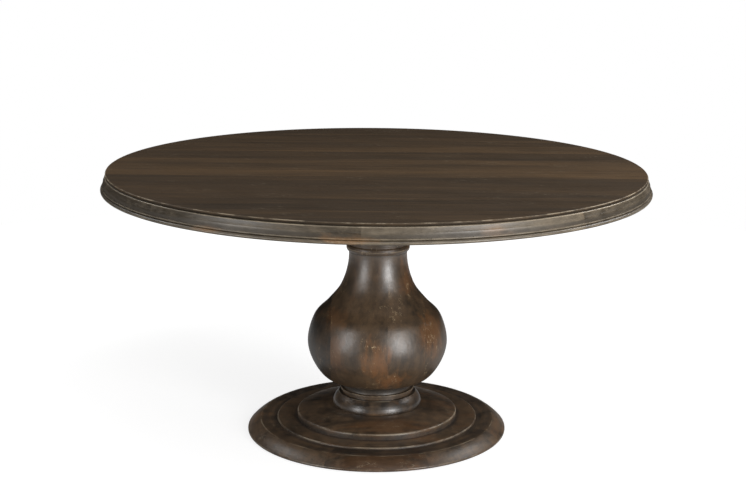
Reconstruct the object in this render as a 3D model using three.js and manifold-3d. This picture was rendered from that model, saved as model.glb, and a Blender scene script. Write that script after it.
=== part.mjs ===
// Round pedestal dining table in dark stained hardwood, in millimetres, +Z up.
// The origin is on the floor, on the axis of the column. The boards of the top run along X.
import * as THREE from 'three';
import { mergeVertices } from 'three/addons/utils/BufferGeometryUtils.js';
import Module from 'manifold-3d';

const wasm = await Module();
wasm.setup();

// Clearances that many pieces share
const glueLine = 0.3;
const cutOverrun = 20;

// Facets: counts of steps round a circle and of points along a curve
const rimSteps = 64;
const baseSteps = 48;
const columnSteps = 40;
const hardwareSides = 12;
const bulbRings = 20;
const mouldingPoints = 3;

// Overall size
const tableHeight = 762;
const rimRadius = 762;

// Boards of the top: a lipped disc, rabbeted under the lip
const boardThickness = 25;
const lipInset = 14.5;
const lipThickness = 7;
const lipRounding = 4;
const lipUnderRounding = 2.5;
const rabbetWidth = 22;
const boardJointShares = [-0.811, -0.614, -0.392, -0.2, -0.064, 0.172, 0.344, 0.509, 0.65, 0.815];

// Rim moulding: butted segments round the boards and under them
const rimDepth = 43.5;
const rimUnderlap = 30;
const rimSegmentCount = 8;
const rimJointAngle = -3;
const grooveDepth = 4.5;
const grooveHeight = 3;
const arrisInset = 13.5;
const slopeHeight = 12;
const slopeHollow = 0.8;
const turnInset = 9.2;
const noseInset = 8;
const noseRise = 3;
const filletInset = 5;
const filletHeight = 2.5;
const quirkInset = 8.5;
const quirkHeight = 2.5;
const beadHeight = 9.5;
const beadFootInset = 4;

// Cleats across the boards, and their screws, which stand in the middle of some boards,
// or further out where that is too near a lag screw
const cleatWidth = 90;
const cleatHeight = 39;
const cleatEndClearance = 78;
const cleatSpacing = 240;
const cleatEndHeight = 18;
const cleatEndTaper = 60;
const screwedBoards = [2, 4, 7, 10];
const screwRadius = 2.6;
const screwHeadRadius = 5;
const screwHeadHeight = 3.2;
const screwBite = 15;
const screwRecessDepth = 12;
const screwRecessRadius = 8;
const screwLagClearance = 25;

// Mounting disc and its lag screws
const mountDiscRadius = 210;
const mountDiscThickness = 30;
const mountDiscChamfer = 6;
const lagSpacing = 300;
const lagRadius = 5;
const lagFlangeRadius = 11;
const lagFlangeHeight = 2.5;
const lagHeadWidth = 14;
const lagHeadHeight = 6.5;
const lagBite = 28;

// Capital between the mounting disc and the column
const capitalTopRadius = 142;
const capitalTopHeight = 16;
const capitalTopChamfer = 4;
const capitalNeckInset = 4;
const capitalThroatGrowth = 10;
const capitalFilletHeight = 9;

// Turned column, from the foot up
const footGrooveHeight = 8;
const footFilletHeight = 6;
const footCoveHeight = 9;
const footFlareHeight = 13;
const footCoveDepth = 8;
const footFilletProjection = 10;
const footGrooveDepth = 5;
const bulbRadius = 199;
const bulbHeightShare = 0.755;
const neckHeight = 17;
const neckBeadHeight = 20;
const neckBeadProjection = 7;
const neckQuirkHeight = 5;
const neckQuirkProjection = 2.5;

// The bulb's outline as shares of its radius and of its height
const bulbOutlineShares = [
  [0.518, 0], [0.759, 0.041], [0.937, 0.178], [1, 0.336], [0.907, 0.522],
  [0.724, 0.631], [0.559, 0.74], [0.476, 0.836], [0.43, 0.932], [0.415, 1],
];
const columnJointShares = [-0.653, 0.141, 0.663];

// Base: half-round foot ring, two turned discs and a ring of butted segments
const footRingHeight = 37;
const footRingRadius = 127;
const footRingFootInset = 5;
const footRingTopMargin = 5;
const footRingNoseShare = 0.16;
const upperDiscEdgeHeight = 16;
const upperDiscDomeRise = 18.5;
const upperDiscDomeCrown = 3;
const middleDiscTread = 58;
const middleDiscEdgeHeight = 5.5;
const middleDiscPlugDepth = 22;
const middleDiscOverlap = 50;
const discEdgeRounding = 3;
const baseRingRadius = 371;
const baseRingThickness = 32;
const baseRingTread = 47;
const baseRingBevelWidth = 37;
const baseRingBevelCrown = 3.5;
const baseRingEdgeHeight = 5.5;
const baseRingFootRounding = 2;
const baseRingSegmentCount = 8;

// Tie rod from the base to the mounting disc, with its washers and nuts
const rodRadius = 8;
const rodBoreClearance = 0.7;
const rodEndSpare = 4;
const nutWidth = 24;
const nutHeight = 13;
const washerRadius = 25;
const washerThickness = 3;
const washerRecessClearance = 5;

// Nail-on glides under the base
const glideRadius = 12;
const glideHeight = 2;
const glideInset = 15;
const glideCount = 4;
const glideNailRadius = 1.2;
const glideNailLength = 15;

// Radii and heights that follow, from the top down to the column
const lipRadius = rimRadius - lipInset;
const rabbetRadius = lipRadius - rabbetWidth;
const rimInnerRadius = rabbetRadius - rimUnderlap;
const cleatHalfLength = rimInnerRadius - cleatEndClearance;
const lipUnderside = tableHeight - lipThickness;
const boardsUnderside = tableHeight - boardThickness;
const rimUnderside = lipUnderside - rimDepth;
const cleatUnderside = boardsUnderside - cleatHeight;
const screwSeat = cleatUnderside + screwRecessDepth;
const mountDiscBase = cleatUnderside - mountDiscThickness;

// Radii and heights that follow, from the floor up to the column
const baseRingRidgeRadius = baseRingRadius - baseRingBevelWidth;
const middleDiscRadius = baseRingRidgeRadius - baseRingTread;
const upperDiscRadius = middleDiscRadius - middleDiscTread;
const baseRingBase = glideHeight;
const baseRingTop = baseRingBase + baseRingThickness;
const middleDiscTop = baseRingTop + middleDiscEdgeHeight;
const middleDiscPlugBase = baseRingTop - middleDiscPlugDepth;
const upperDiscEdge = middleDiscTop + upperDiscEdgeHeight;
const upperDiscTop = upperDiscEdge + upperDiscDomeRise;
const footRingTop = upperDiscTop + footRingHeight;

// Sizes of the column that follow from both
const footHeight = footGrooveHeight + footFilletHeight + footCoveHeight + footFlareHeight;
const neckStackHeight = neckHeight + neckBeadHeight + neckQuirkHeight;
const bulbSpan = mountDiscBase - footRingTop - footHeight - neckStackHeight;
const bulbHeight = bulbSpan * bulbHeightShare;
const bulbBase = footRingTop + footHeight;
const columnTop = bulbBase + bulbHeight + neckStackHeight;
const bulbFootRadius = bulbOutlineShares[0][0] * bulbRadius;
const neckRadius = bulbOutlineShares[bulbOutlineShares.length - 1][0] * bulbRadius;
const footCoveRadius = bulbFootRadius - footCoveDepth;
const footFilletRadius = footCoveRadius + footFilletProjection;
const capitalFilletRadius = neckRadius + neckBeadProjection;
const rodBoreRadius = rodRadius + rodBoreClearance;
const nailTop = baseRingBase + glideNailLength;
const lowerWasherBase = middleDiscPlugBase + nutHeight;
const lowerWasherSeat = lowerWasherBase + washerThickness;
const upperNutBase = cleatUnderside + washerThickness;

// Finishes
const finishes = {
  top: { color: 0x352a22, roughness: 0.42, metalness: 0 },
  rim: { color: 0x4a4034, roughness: 0.4, metalness: 0 },
  column: { color: 0x4b382c, roughness: 0.36, metalness: 0 },
  base: { color: 0x43332a, roughness: 0.4, metalness: 0 },
  underside: { color: 0x5a4632, roughness: 0.7, metalness: 0 },
  steel: { color: 0x9a9a98, roughness: 0.35, metalness: 1 },
  glide: { color: 0x2a2a2a, roughness: 0.6, metalness: 0 },
};

const table = new THREE.Group();

function addPiece(name, geometry, finish) {
  const mesh = new THREE.Mesh(geometry, new THREE.MeshStandardMaterial(finishes[finish]));
  mesh.name = name;
  table.add(mesh);
}

// Solids for joining and cutting
function toSolid(geometry) {
  const bare = geometry.clone();
  bare.deleteAttribute('normal');
  bare.deleteAttribute('uv');
  const merged = mergeVertices(bare);
  const triVerts = new Uint32Array(merged.index.array);
  const vertProperties = new Float32Array(merged.attributes.position.array);
  return new wasm.Manifold(new wasm.Mesh({ numProp: 3, vertProperties, triVerts }));
}

function toGeometry(solid) {
  const mesh = solid.getMesh();
  const geometry = new THREE.BufferGeometry();
  geometry.setAttribute('position', new THREE.BufferAttribute(mesh.vertProperties, 3));
  geometry.setIndex(new THREE.BufferAttribute(mesh.triVerts, 1));
  geometry.computeVertexNormals();
  return geometry;
}

function cutHoles(solid, holes) {
  return holes.reduce((rest, hole) => rest.subtract(toSolid(hole)), solid);
}

// A full turn of an outline of radii and heights
function turned(outline, steps) {
  const points = outline.map(([radius, height]) => new THREE.Vector2(radius, height));
  const geometry = new THREE.LatheGeometry(points, steps);
  geometry.rotateX(Math.PI / 2);
  return geometry;
}

function cylinder(radius, low, high, [x, y], sides) {
  const geometry = new THREE.CylinderGeometry(radius, radius, high - low, sides);
  geometry.rotateX(Math.PI / 2);
  geometry.translate(x, y, (low + high) / 2);
  return geometry;
}

function block(low, high) {
  const geometry = new THREE.BoxGeometry(...low.map((value, axis) => high[axis] - value));
  geometry.translate(...low.map((value, axis) => (value + high[axis]) / 2));
  return geometry;
}

// A hexagon of a width across its flats, with a round bore or none
function hexagon(width, low, high, [x, y], boreRadius) {
  const corners = [];
  for (let side = 0; side < 6; side += 1) {
    const angle = (side / 6) * 2 * Math.PI;
    const corner = new THREE.Vector2(width / Math.sqrt(3), 0);
    corners.push(corner.rotateAround(new THREE.Vector2(), angle));
  }
  const shape = new THREE.Shape(corners);
  if (boreRadius > 0) {
    const bore = new THREE.Path();
    bore.absarc(0, 0, boreRadius, 0, 2 * Math.PI, true);
    shape.holes.push(bore);
  }
  const settings = { depth: high - low, bevelEnabled: false, curveSegments: hardwareSides / 2 };
  const geometry = new THREE.ExtrudeGeometry(shape, settings);
  geometry.translate(x, y, low);
  return geometry;
}

// One butted segment of a turned ring, from a start to an end angle, with its two end faces
function ringSegment(outline, start, end, steps) {
  const loop = outline.map(([radius, height]) => new THREE.Vector2(radius, height));
  if (THREE.ShapeUtils.isClockWise(loop)) {
    loop.reverse();
  }
  const count = loop.length;
  const positions = [];
  const index = [];
  for (let step = 0; step <= steps; step += 1) {
    const angle = start + ((end - start) * step) / steps;
    for (const point of loop) {
      positions.push(point.x * Math.cos(angle), point.x * Math.sin(angle), point.y);
    }
  }
  for (let near = 0; near < steps * count; near += count) {
    const far = near + count;
    for (let corner = 0; corner < count; corner += 1) {
      const next = (corner + 1) % count;
      index.push(near + corner, far + next, near + next);
      index.push(near + corner, far + corner, far + next);
    }
  }
  const last = steps * count;
  for (const [a, b, c] of THREE.ShapeUtils.triangulateShape(loop, [])) {
    index.push(a, b, c);
    index.push(last + a, last + c, last + b);
  }
  const geometry = new THREE.BufferGeometry();
  geometry.setAttribute('position', new THREE.BufferAttribute(new Float32Array(positions), 3));
  geometry.setIndex(index);
  geometry.computeVertexNormals();
  return geometry;
}

// The points between the ends of a quarter ellipse, which leaves its first end upright or level
function quarter(from, to, uprightFirst, pointCount) {
  const points = [];
  for (let step = 1; step < pointCount; step += 1) {
    const angle = (step / pointCount) * (Math.PI / 2);
    const radial = uprightFirst ? 1 - Math.cos(angle) : Math.sin(angle);
    const upright = uprightFirst ? Math.sin(angle) : 1 - Math.cos(angle);
    points.push([from[0] + (to[0] - from[0]) * radial, from[1] + (to[1] - from[1]) * upright]);
  }
  return points;
}

// Places that several pieces share
const boardEdges = [-1, ...boardJointShares, 1].map((share) => share * lipRadius);
const cleatPlaces = [-cleatSpacing / 2, cleatSpacing / 2];
const nearestScrew = lagSpacing / 2 + screwLagClearance;
const screwLines = screwedBoards.map((number) => {
  const middle = (boardEdges[number - 1] + boardEdges[number]) / 2;
  return Math.sign(middle) * Math.max(Math.abs(middle), nearestScrew);
});
const screwPlaces = cleatPlaces.flatMap((x) => screwLines.map((y) => [x, y]));
const lagPlaces = cleatPlaces.flatMap((x) => [[x, -lagSpacing / 2], [x, lagSpacing / 2]]);
const glideCircle = baseRingRidgeRadius - glideInset;
const glidePlaces = Array.from({ length: glideCount }, (_, number) => {
  const angle = ((number + 0.5) / glideCount) * 2 * Math.PI;
  return [glideCircle * Math.cos(angle), glideCircle * Math.sin(angle)];
});

// Boards of the top, cut from one disc, with pilot holes for the cleats' screws
function boardDisc() {
  const roundingStart = [lipRadius, tableHeight - lipRounding];
  const roundingEnd = [lipRadius - lipRounding, tableHeight];
  const disc = turned([
    [0, boardsUnderside],
    [rabbetRadius, boardsUnderside],
    [rabbetRadius, lipUnderside],
    [lipRadius - lipUnderRounding, lipUnderside],
    [lipRadius, lipUnderside + lipUnderRounding],
    roundingStart,
    ...quarter(roundingStart, roundingEnd, true, mouldingPoints),
    roundingEnd,
    [0, tableHeight],
  ], rimSteps);
  disc.rotateZ(THREE.MathUtils.degToRad(rimJointAngle));
  return disc;
}

function addBoards() {
  const disc = toSolid(boardDisc());
  const pilotTop = boardsUnderside + screwBite + glueLine;
  const pilots = screwPlaces.map((place) => (
    cylinder(screwRadius + glueLine, cleatUnderside, pilotTop, place, hardwareSides)
  ));
  const side = lipRadius + cutOverrun;
  const count = boardEdges.length - 1;
  for (let number = 1; number <= count; number += 1) {
    const front = number === 1 ? -side : boardEdges[number - 1] + glueLine / 2;
    const back = number === count ? side : boardEdges[number] - glueLine / 2;
    const low = [-side, front, boardsUnderside - cutOverrun];
    const high = [side, back, tableHeight + cutOverrun];
    const board = disc.intersect(toSolid(block(low, high)));
    addPiece(`top_board_${String(number).padStart(2, '0')}`, toGeometry(cutHoles(board, pilots)), 'top');
  }
}

// Rim moulding over a ledge for the boards: groove, arris, hollow slope, nose, fillet and quirk,
// and a lower bead that stands out furthest
function rimOutline() {
  const innerRadius = rabbetRadius + glueLine;
  const beadTop = rimUnderside + beadHeight;
  const filletTop = beadTop + quirkHeight + filletHeight;
  const arris = [rimRadius - arrisInset, lipUnderside - grooveHeight];
  const turn = [rimRadius - turnInset, arris[1] - slopeHeight];
  const hollow = [(arris[0] + turn[0]) / 2 - slopeHollow, (arris[1] + turn[1]) / 2];
  const nose = [rimRadius - noseInset, filletTop + noseRise];
  const quirk = [rimRadius - quirkInset, beadTop];
  const beadNose = [rimRadius, rimUnderside + beadHeight / 2];
  return [
    [innerRadius, lipUnderside],
    [lipRadius - grooveDepth, lipUnderside],
    arris,
    hollow,
    turn,
    ...quarter(turn, nose, false, mouldingPoints),
    nose,
    [rimRadius - noseInset, filletTop],
    [rimRadius - filletInset, filletTop],
    [rimRadius - filletInset, filletTop - filletHeight],
    quirk,
    ...quarter(quirk, beadNose, false, mouldingPoints - 1),
    beadNose,
    [rimRadius - beadFootInset, rimUnderside],
    [rimInnerRadius, rimUnderside],
    [rimInnerRadius, boardsUnderside],
    [innerRadius, boardsUnderside],
  ];
}

function addRim() {
  const outline = rimOutline();
  const sweep = (2 * Math.PI) / rimSegmentCount;
  const first = THREE.MathUtils.degToRad(rimJointAngle) - Math.PI / 2;
  const halfGap = glueLine / 2 / rimRadius;
  for (let number = 1; number <= rimSegmentCount; number += 1) {
    const start = first + (number - 1) * sweep + halfGap;
    const end = first + number * sweep - halfGap;
    const steps = Math.round(rimSteps / rimSegmentCount);
    addPiece(`rim_segment_${number}`, ringSegment(outline, start, end, steps), 'rim');
  }
}

// Cleats, lower towards their ends, bored for their screws and for the lag screws
function cleatBar(x) {
  const half = cleatHalfLength;
  const endUnderside = boardsUnderside - cleatEndHeight;
  const side = new THREE.Shape([
    new THREE.Vector2(-half, boardsUnderside),
    new THREE.Vector2(-half, endUnderside),
    new THREE.Vector2(-half + cleatEndTaper, cleatUnderside),
    new THREE.Vector2(half - cleatEndTaper, cleatUnderside),
    new THREE.Vector2(half, endUnderside),
    new THREE.Vector2(half, boardsUnderside),
  ]);
  const bar = new THREE.ExtrudeGeometry(side, { depth: cleatWidth, bevelEnabled: false });
  bar.rotateX(Math.PI / 2);
  bar.rotateZ(Math.PI / 2);
  bar.translate(x - cleatWidth / 2, 0, 0);
  return bar;
}

function addCleats() {
  const below = cleatUnderside - cutOverrun;
  const above = boardsUnderside + cutOverrun;
  const lagTop = cleatUnderside + lagBite + glueLine;
  const holes = [
    ...screwPlaces.map((place) => cylinder(screwRadius + glueLine, below, above, place, hardwareSides)),
    ...screwPlaces.map((place) => cylinder(screwRecessRadius, below, screwSeat, place, hardwareSides)),
    ...lagPlaces.map((place) => cylinder(lagRadius + glueLine, below, lagTop, place, hardwareSides)),
  ];
  ['cleat_left', 'cleat_right'].forEach((name, number) => {
    const bar = toSolid(cleatBar(cleatPlaces[number]));
    addPiece(name, toGeometry(cutHoles(bar, holes)), 'underside');
  });
  screwPlaces.forEach((place, number) => {
    const tip = boardsUnderside + screwBite;
    const shank = toSolid(cylinder(screwRadius, screwSeat, tip, place, hardwareSides));
    const headBase = screwSeat - screwHeadHeight;
    const head = toSolid(cylinder(screwHeadRadius, headBase, screwSeat, place, hardwareSides));
    addPiece(`cleat_screw_${number + 1}`, toGeometry(shank.add(head)), 'steel');
  });
}

// Mounting disc with its lag screws
function addMountingDisc() {
  const below = mountDiscBase - cutOverrun;
  const above = cleatUnderside + cutOverrun;
  const disc = toSolid(turned([
    [rodBoreRadius, mountDiscBase],
    [mountDiscRadius - mountDiscChamfer, mountDiscBase],
    [mountDiscRadius, mountDiscBase + mountDiscChamfer],
    [mountDiscRadius, cleatUnderside],
    [rodBoreRadius, cleatUnderside],
    [rodBoreRadius, mountDiscBase],
  ], baseSteps));
  const holes = lagPlaces.map((place) => cylinder(lagRadius + glueLine, below, above, place, hardwareSides));
  addPiece('mounting_disc', toGeometry(cutHoles(disc, holes)), 'underside');
  lagPlaces.forEach((place, number) => {
    const flangeBase = mountDiscBase - lagFlangeHeight;
    const tip = cleatUnderside + lagBite;
    const shank = toSolid(cylinder(lagRadius, mountDiscBase, tip, place, hardwareSides));
    const flange = toSolid(cylinder(lagFlangeRadius, flangeBase, mountDiscBase, place, hardwareSides));
    const head = toSolid(hexagon(lagHeadWidth, flangeBase - lagHeadHeight, flangeBase, place, 0));
    addPiece(`mounting_lag_screw_${number + 1}`, toGeometry(shank.add(flange).add(head)), 'steel');
  });
}

// Capital: a fillet on the column's quirk, a throat and a hollow flare to a chamfered top
function addCapital() {
  const filletTop = columnTop + capitalFilletHeight;
  const flareTop = mountDiscBase - capitalTopHeight;
  const throat = [capitalFilletRadius + capitalThroatGrowth, (filletTop + flareTop) / 2];
  const flare = [capitalTopRadius - capitalTopChamfer, flareTop];
  addPiece('capital', turned([
    [rodBoreRadius, columnTop],
    [capitalFilletRadius, columnTop],
    [capitalFilletRadius, filletTop],
    [capitalFilletRadius - capitalNeckInset, filletTop],
    throat,
    ...quarter(throat, flare, true, mouldingPoints + 1),
    flare,
    [capitalTopRadius, flareTop + capitalTopChamfer],
    [capitalTopRadius, mountDiscBase],
    [rodBoreRadius, mountDiscBase],
    [rodBoreRadius, columnTop],
  ], columnSteps), 'column');
}

// Column: upright laminations glued face to face and turned as one
function columnOutline() {
  const shape = bulbOutlineShares.map(([radiusShare, heightShare]) => (
    new THREE.Vector2(radiusShare * bulbRadius, bulbBase + heightShare * bulbHeight)
  ));
  const bulb = new THREE.SplineCurve(shape).getSpacedPoints(bulbRings);
  const grooveTop = footRingTop + footGrooveHeight;
  const filletTop = grooveTop + footFilletHeight;
  const beadBase = bulbBase + bulbHeight + neckHeight;
  const beadTop = beadBase + neckBeadHeight;
  const bead = [neckRadius + neckBeadProjection, (beadBase + beadTop) / 2];
  return [
    [rodBoreRadius, footRingTop],
    [footFilletRadius - footGrooveDepth, footRingTop],
    [footFilletRadius - footGrooveDepth, grooveTop],
    [footFilletRadius, grooveTop],
    [footFilletRadius, filletTop],
    [footCoveRadius, filletTop],
    [footCoveRadius, filletTop + footCoveHeight],
    ...bulb.map((point) => [point.x, point.y]),
    [neckRadius, beadBase],
    ...quarter([neckRadius, beadBase], bead, false, mouldingPoints - 1),
    bead,
    [neckRadius + neckQuirkProjection, beadTop],
    [neckRadius + neckQuirkProjection, columnTop],
    [rodBoreRadius, columnTop],
    [rodBoreRadius, footRingTop],
  ];
}

function addColumn() {
  const column = toSolid(turned(columnOutline(), columnSteps));
  const side = bulbRadius + cutOverrun;
  const joints = columnJointShares.map((share) => share * bulbRadius);
  const lefts = [-side, ...joints.map((joint) => joint + glueLine / 2)];
  const rights = [...joints.map((joint) => joint - glueLine / 2), side];
  const names = ['bulb_side_left', 'column_core_left', 'column_core_right', 'bulb_side_right'];
  names.forEach((name, number) => {
    const low = [lefts[number], -side, footRingTop - cutOverrun];
    const high = [rights[number], side, columnTop + cutOverrun];
    addPiece(name, toGeometry(column.intersect(toSolid(block(low, high)))), 'column');
  });
}

// Foot ring under the column
function addFootRing() {
  const foot = [footRingRadius - footRingFootInset, upperDiscTop];
  const nose = [footRingRadius, upperDiscTop + footRingHeight * footRingNoseShare];
  const top = [footFilletRadius + footRingTopMargin, footRingTop];
  addPiece('foot_ring', turned([
    [rodBoreRadius, upperDiscTop],
    foot,
    ...quarter(foot, nose, false, mouldingPoints),
    nose,
    ...quarter(nose, top, true, mouldingPoints + 1),
    top,
    [rodBoreRadius, footRingTop],
    [rodBoreRadius, upperDiscTop],
  ], columnSteps), 'base');
}

// The two turned discs: the upper one is domed, the lower one has a plug inside the base ring
function addDiscs() {
  const domeMiddle = [(upperDiscRadius + footRingRadius) / 2, (upperDiscEdge + upperDiscTop) / 2];
  addPiece('upper_disc', turned([
    [rodBoreRadius, middleDiscTop],
    [upperDiscRadius, middleDiscTop],
    [upperDiscRadius, upperDiscEdge - discEdgeRounding],
    [upperDiscRadius - discEdgeRounding, upperDiscEdge],
    [domeMiddle[0], domeMiddle[1] + upperDiscDomeCrown],
    [footRingRadius, upperDiscTop],
    [rodBoreRadius, upperDiscTop],
    [rodBoreRadius, middleDiscTop],
  ], baseSteps), 'base');

  const plugRadius = middleDiscRadius - middleDiscOverlap - glueLine;
  const recessRadius = washerRadius + washerRecessClearance;
  addPiece('middle_disc', turned([
    [recessRadius, middleDiscPlugBase],
    [plugRadius, middleDiscPlugBase],
    [plugRadius, baseRingTop],
    [middleDiscRadius, baseRingTop],
    [middleDiscRadius, middleDiscTop - discEdgeRounding],
    [middleDiscRadius - discEdgeRounding, middleDiscTop],
    [rodBoreRadius, middleDiscTop],
    [rodBoreRadius, lowerWasherSeat],
    [recessRadius, lowerWasherSeat],
    [recessRadius, middleDiscPlugBase],
  ], baseSteps), 'base');
}

// Base ring: butted segments with a crowned bevel, bored for the glides' nails
function addBaseRing() {
  const innerRadius = middleDiscRadius - middleDiscOverlap;
  const ridge = [baseRingRidgeRadius, baseRingTop];
  const edge = [baseRingRadius, baseRingBase + baseRingEdgeHeight];
  const crown = ridge.map((size, axis) => (size + edge[axis]) / 2 + baseRingBevelCrown);
  const outline = [
    [innerRadius, baseRingBase],
    [baseRingRadius - baseRingFootRounding, baseRingBase],
    [baseRingRadius, baseRingBase + baseRingFootRounding],
    edge,
    crown,
    ridge,
    [innerRadius, baseRingTop],
  ];
  const nailHoles = glidePlaces.map((place) => (
    cylinder(glideNailRadius + glueLine, -cutOverrun, nailTop + glueLine, place, hardwareSides)
  ));
  const sweep = (2 * Math.PI) / baseRingSegmentCount;
  const first = -(Math.PI + sweep) / 2;
  const halfGap = glueLine / 2 / baseRingRadius;
  for (let number = 1; number <= baseRingSegmentCount; number += 1) {
    const start = first + (number - 1) * sweep + halfGap;
    const end = first + number * sweep - halfGap;
    const steps = Math.round(baseSteps / baseRingSegmentCount);
    const segment = cutHoles(toSolid(ringSegment(outline, start, end, steps)), nailHoles);
    addPiece(`base_ring_segment_${number}`, toGeometry(segment), 'base');
  }
}

// Tie rod, with a washer and a nut at each end
function addTieRod() {
  const axis = [0, 0];
  const bore = rodRadius + glueLine;
  const rodBase = middleDiscPlugBase - rodEndSpare;
  const rodTop = upperNutBase + nutHeight + rodEndSpare;
  addPiece('tie_rod', cylinder(rodRadius, rodBase, rodTop, axis, hardwareSides), 'steel');
  const ends = [
    ['lower', lowerWasherBase, middleDiscPlugBase],
    ['upper', cleatUnderside, upperNutBase],
  ];
  for (const [end, washerBase, nutBase] of ends) {
    addPiece(`${end}_washer`, turned([
      [bore, washerBase],
      [washerRadius, washerBase],
      [washerRadius, washerBase + washerThickness],
      [bore, washerBase + washerThickness],
      [bore, washerBase],
    ], hardwareSides), 'steel');
    addPiece(`${end}_nut`, hexagon(nutWidth, nutBase, nutBase + nutHeight, axis, bore), 'steel');
  }
}

// Glides: a round pad with a nail
function addGlides() {
  glidePlaces.forEach((place, number) => {
    const pad = toSolid(cylinder(glideRadius, 0, glideHeight, place, hardwareSides));
    const nail = toSolid(cylinder(glideNailRadius, glideHeight / 2, nailTop, place, hardwareSides));
    addPiece(`glide_${number + 1}`, toGeometry(pad.add(nail)), 'glide');
  });
}

addBoards();
addRim();
addCleats();
addMountingDisc();
addCapital();
addColumn();
addFootRing();
addDiscs();
addBaseRing();
addTieRod();
addGlides();

export default table;
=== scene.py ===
"""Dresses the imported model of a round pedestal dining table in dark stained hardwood.

Lengths are in metres and angles in degrees. Each sub-assembly is a class that holds its own
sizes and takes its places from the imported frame, so every piece lands on what carries it.
"""

import logging
import math
from collections.abc import Iterator, Sequence
from dataclasses import dataclass, field
from enum import Enum

import bmesh
import bpy
import numpy as np
from mathutils import Matrix, Vector


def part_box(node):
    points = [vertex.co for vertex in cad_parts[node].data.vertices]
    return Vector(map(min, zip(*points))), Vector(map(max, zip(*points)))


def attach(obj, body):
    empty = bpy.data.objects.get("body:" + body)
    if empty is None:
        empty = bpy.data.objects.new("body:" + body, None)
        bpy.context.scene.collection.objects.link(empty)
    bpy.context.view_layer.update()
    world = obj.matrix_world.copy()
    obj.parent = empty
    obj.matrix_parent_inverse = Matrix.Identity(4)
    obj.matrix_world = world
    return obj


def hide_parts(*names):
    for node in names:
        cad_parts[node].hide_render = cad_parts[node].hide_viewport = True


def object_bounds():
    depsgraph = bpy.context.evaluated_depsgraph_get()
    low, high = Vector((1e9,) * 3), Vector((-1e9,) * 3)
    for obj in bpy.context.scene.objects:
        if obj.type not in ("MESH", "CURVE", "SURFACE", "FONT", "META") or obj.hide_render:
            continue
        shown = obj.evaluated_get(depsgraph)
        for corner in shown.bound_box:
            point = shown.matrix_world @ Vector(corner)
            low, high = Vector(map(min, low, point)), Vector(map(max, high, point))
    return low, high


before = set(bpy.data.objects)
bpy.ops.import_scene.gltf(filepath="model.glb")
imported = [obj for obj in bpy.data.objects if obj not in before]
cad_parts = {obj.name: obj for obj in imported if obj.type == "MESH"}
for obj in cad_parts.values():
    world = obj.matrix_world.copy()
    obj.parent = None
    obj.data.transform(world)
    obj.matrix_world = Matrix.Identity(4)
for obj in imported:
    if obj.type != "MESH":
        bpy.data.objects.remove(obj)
CAD_LOW, CAD_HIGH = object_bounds()

LOG = logging.getLogger("pedestal_table")
BODY = "root"

Colour = tuple[float, float, float]
Place = tuple[float, float, float]
Shape = bmesh.types.BMesh
Socket = bpy.types.NodeSocket

GLUE_LINE = 0.0001
WELD = 0.000005
ROD_BORE = 0.0087
SHARP_ANGLE = 38.0
UPRIGHT_LIMIT = 0.9
CORNER_SEGMENTS = 4
SIXTH_TURN = math.pi / 3
SEED_STEP = (3.71, 1.37, 2.23)
FULL_TURN = 360.0
WHITE = (1.0, 1.0, 1.0, 1.0)


class Grain(Enum):
    """The way the grain of a piece runs."""

    ALONG_X = (1.0, 0.0, 0.0)
    ALONG_Y = (0.0, 1.0, 0.0)
    UPRIGHT = (0.0, 0.0, 1.0)


class Slot(Enum):
    """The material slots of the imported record."""

    TOP = "top_wood"
    RIM = "rim_wood"
    COLUMN = "column_wood"
    BASE = "base_wood"
    UNDERSIDE = "underside_wood"
    STEEL = "steel"
    GLIDE = "glide_plastic"


@dataclass(frozen=True)
class Plank:
    """The plank that a piece is cut from.

    Args:
        grain: Direction of the grain, a unit vector.
        seed: Number that moves the figure to another stretch of timber.
        tone: From -1, darker, to 1, paler than the rest.
        warmth: From -1, greyer, to 1, more orange than the rest.
    """

    grain: Place
    seed: int
    tone: float = 0.0
    warmth: float = 0.0

    def axes(self) -> Matrix:
        """Works out how the plank lies.

        Returns:
            The rotation from the table's axes to the plank's, with X along the grain.
        """
        along = Vector(self.grain).normalized()
        upright = abs(along.z) >= UPRIGHT_LIMIT
        helper = Vector((0.0, 1.0, 0.0)) if upright else Vector((0.0, 0.0, 1.0))
        across = helper.cross(along).normalized()
        return Matrix((along, across, along.cross(across)))


NO_PLANK = Plank(Grain.UPRIGHT.value, 0)


@dataclass(frozen=True)
class Corner:
    """A corner of an outline.

    Args:
        radius: Distance from the axis.
        height: Height over the floor.
        rounding: How far the rounding runs back along both sides, or 0.
    """

    radius: float
    height: float
    rounding: float = 0.0


def curve(start: Corner, end: Corner, upright_first: bool, points: int) -> list[Corner]:
    """Lays a quarter ellipse between two corners.

    Args:
        start: First corner, which isn't repeated in the result.
        end: Last corner, which isn't repeated either.
        upright_first: True where the curve leaves its first corner upright, False for level.
        points: Count of spans.

    Returns:
        The corners between the two.
    """
    laid = []
    for step in range(1, points):
        angle = step / points * math.pi / 2
        radial = 1 - math.cos(angle) if upright_first else math.sin(angle)
        upright = math.sin(angle) if upright_first else 1 - math.cos(angle)
        radius = start.radius + (end.radius - start.radius) * radial
        height = start.height + (end.height - start.height) * upright
        laid.append(Corner(radius, height))
    return laid


def bow(start: Corner, end: Corner, rise: float, points: int) -> list[Corner]:
    """Lays a shallow arch between two corners.

    Args:
        start: First corner, which isn't repeated in the result.
        end: Last corner, which isn't repeated either.
        rise: How far the middle is lifted, or sunk where it is negative.
        points: Count of spans.

    Returns:
        The corners between the two.
    """
    laid = []
    for step in range(1, points):
        share = step / points
        lift = 4 * rise * share * (1 - share)
        radius = start.radius + (end.radius - start.radius) * share
        laid.append(Corner(radius, start.height + (end.height - start.height) * share + lift))
    return laid


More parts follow.
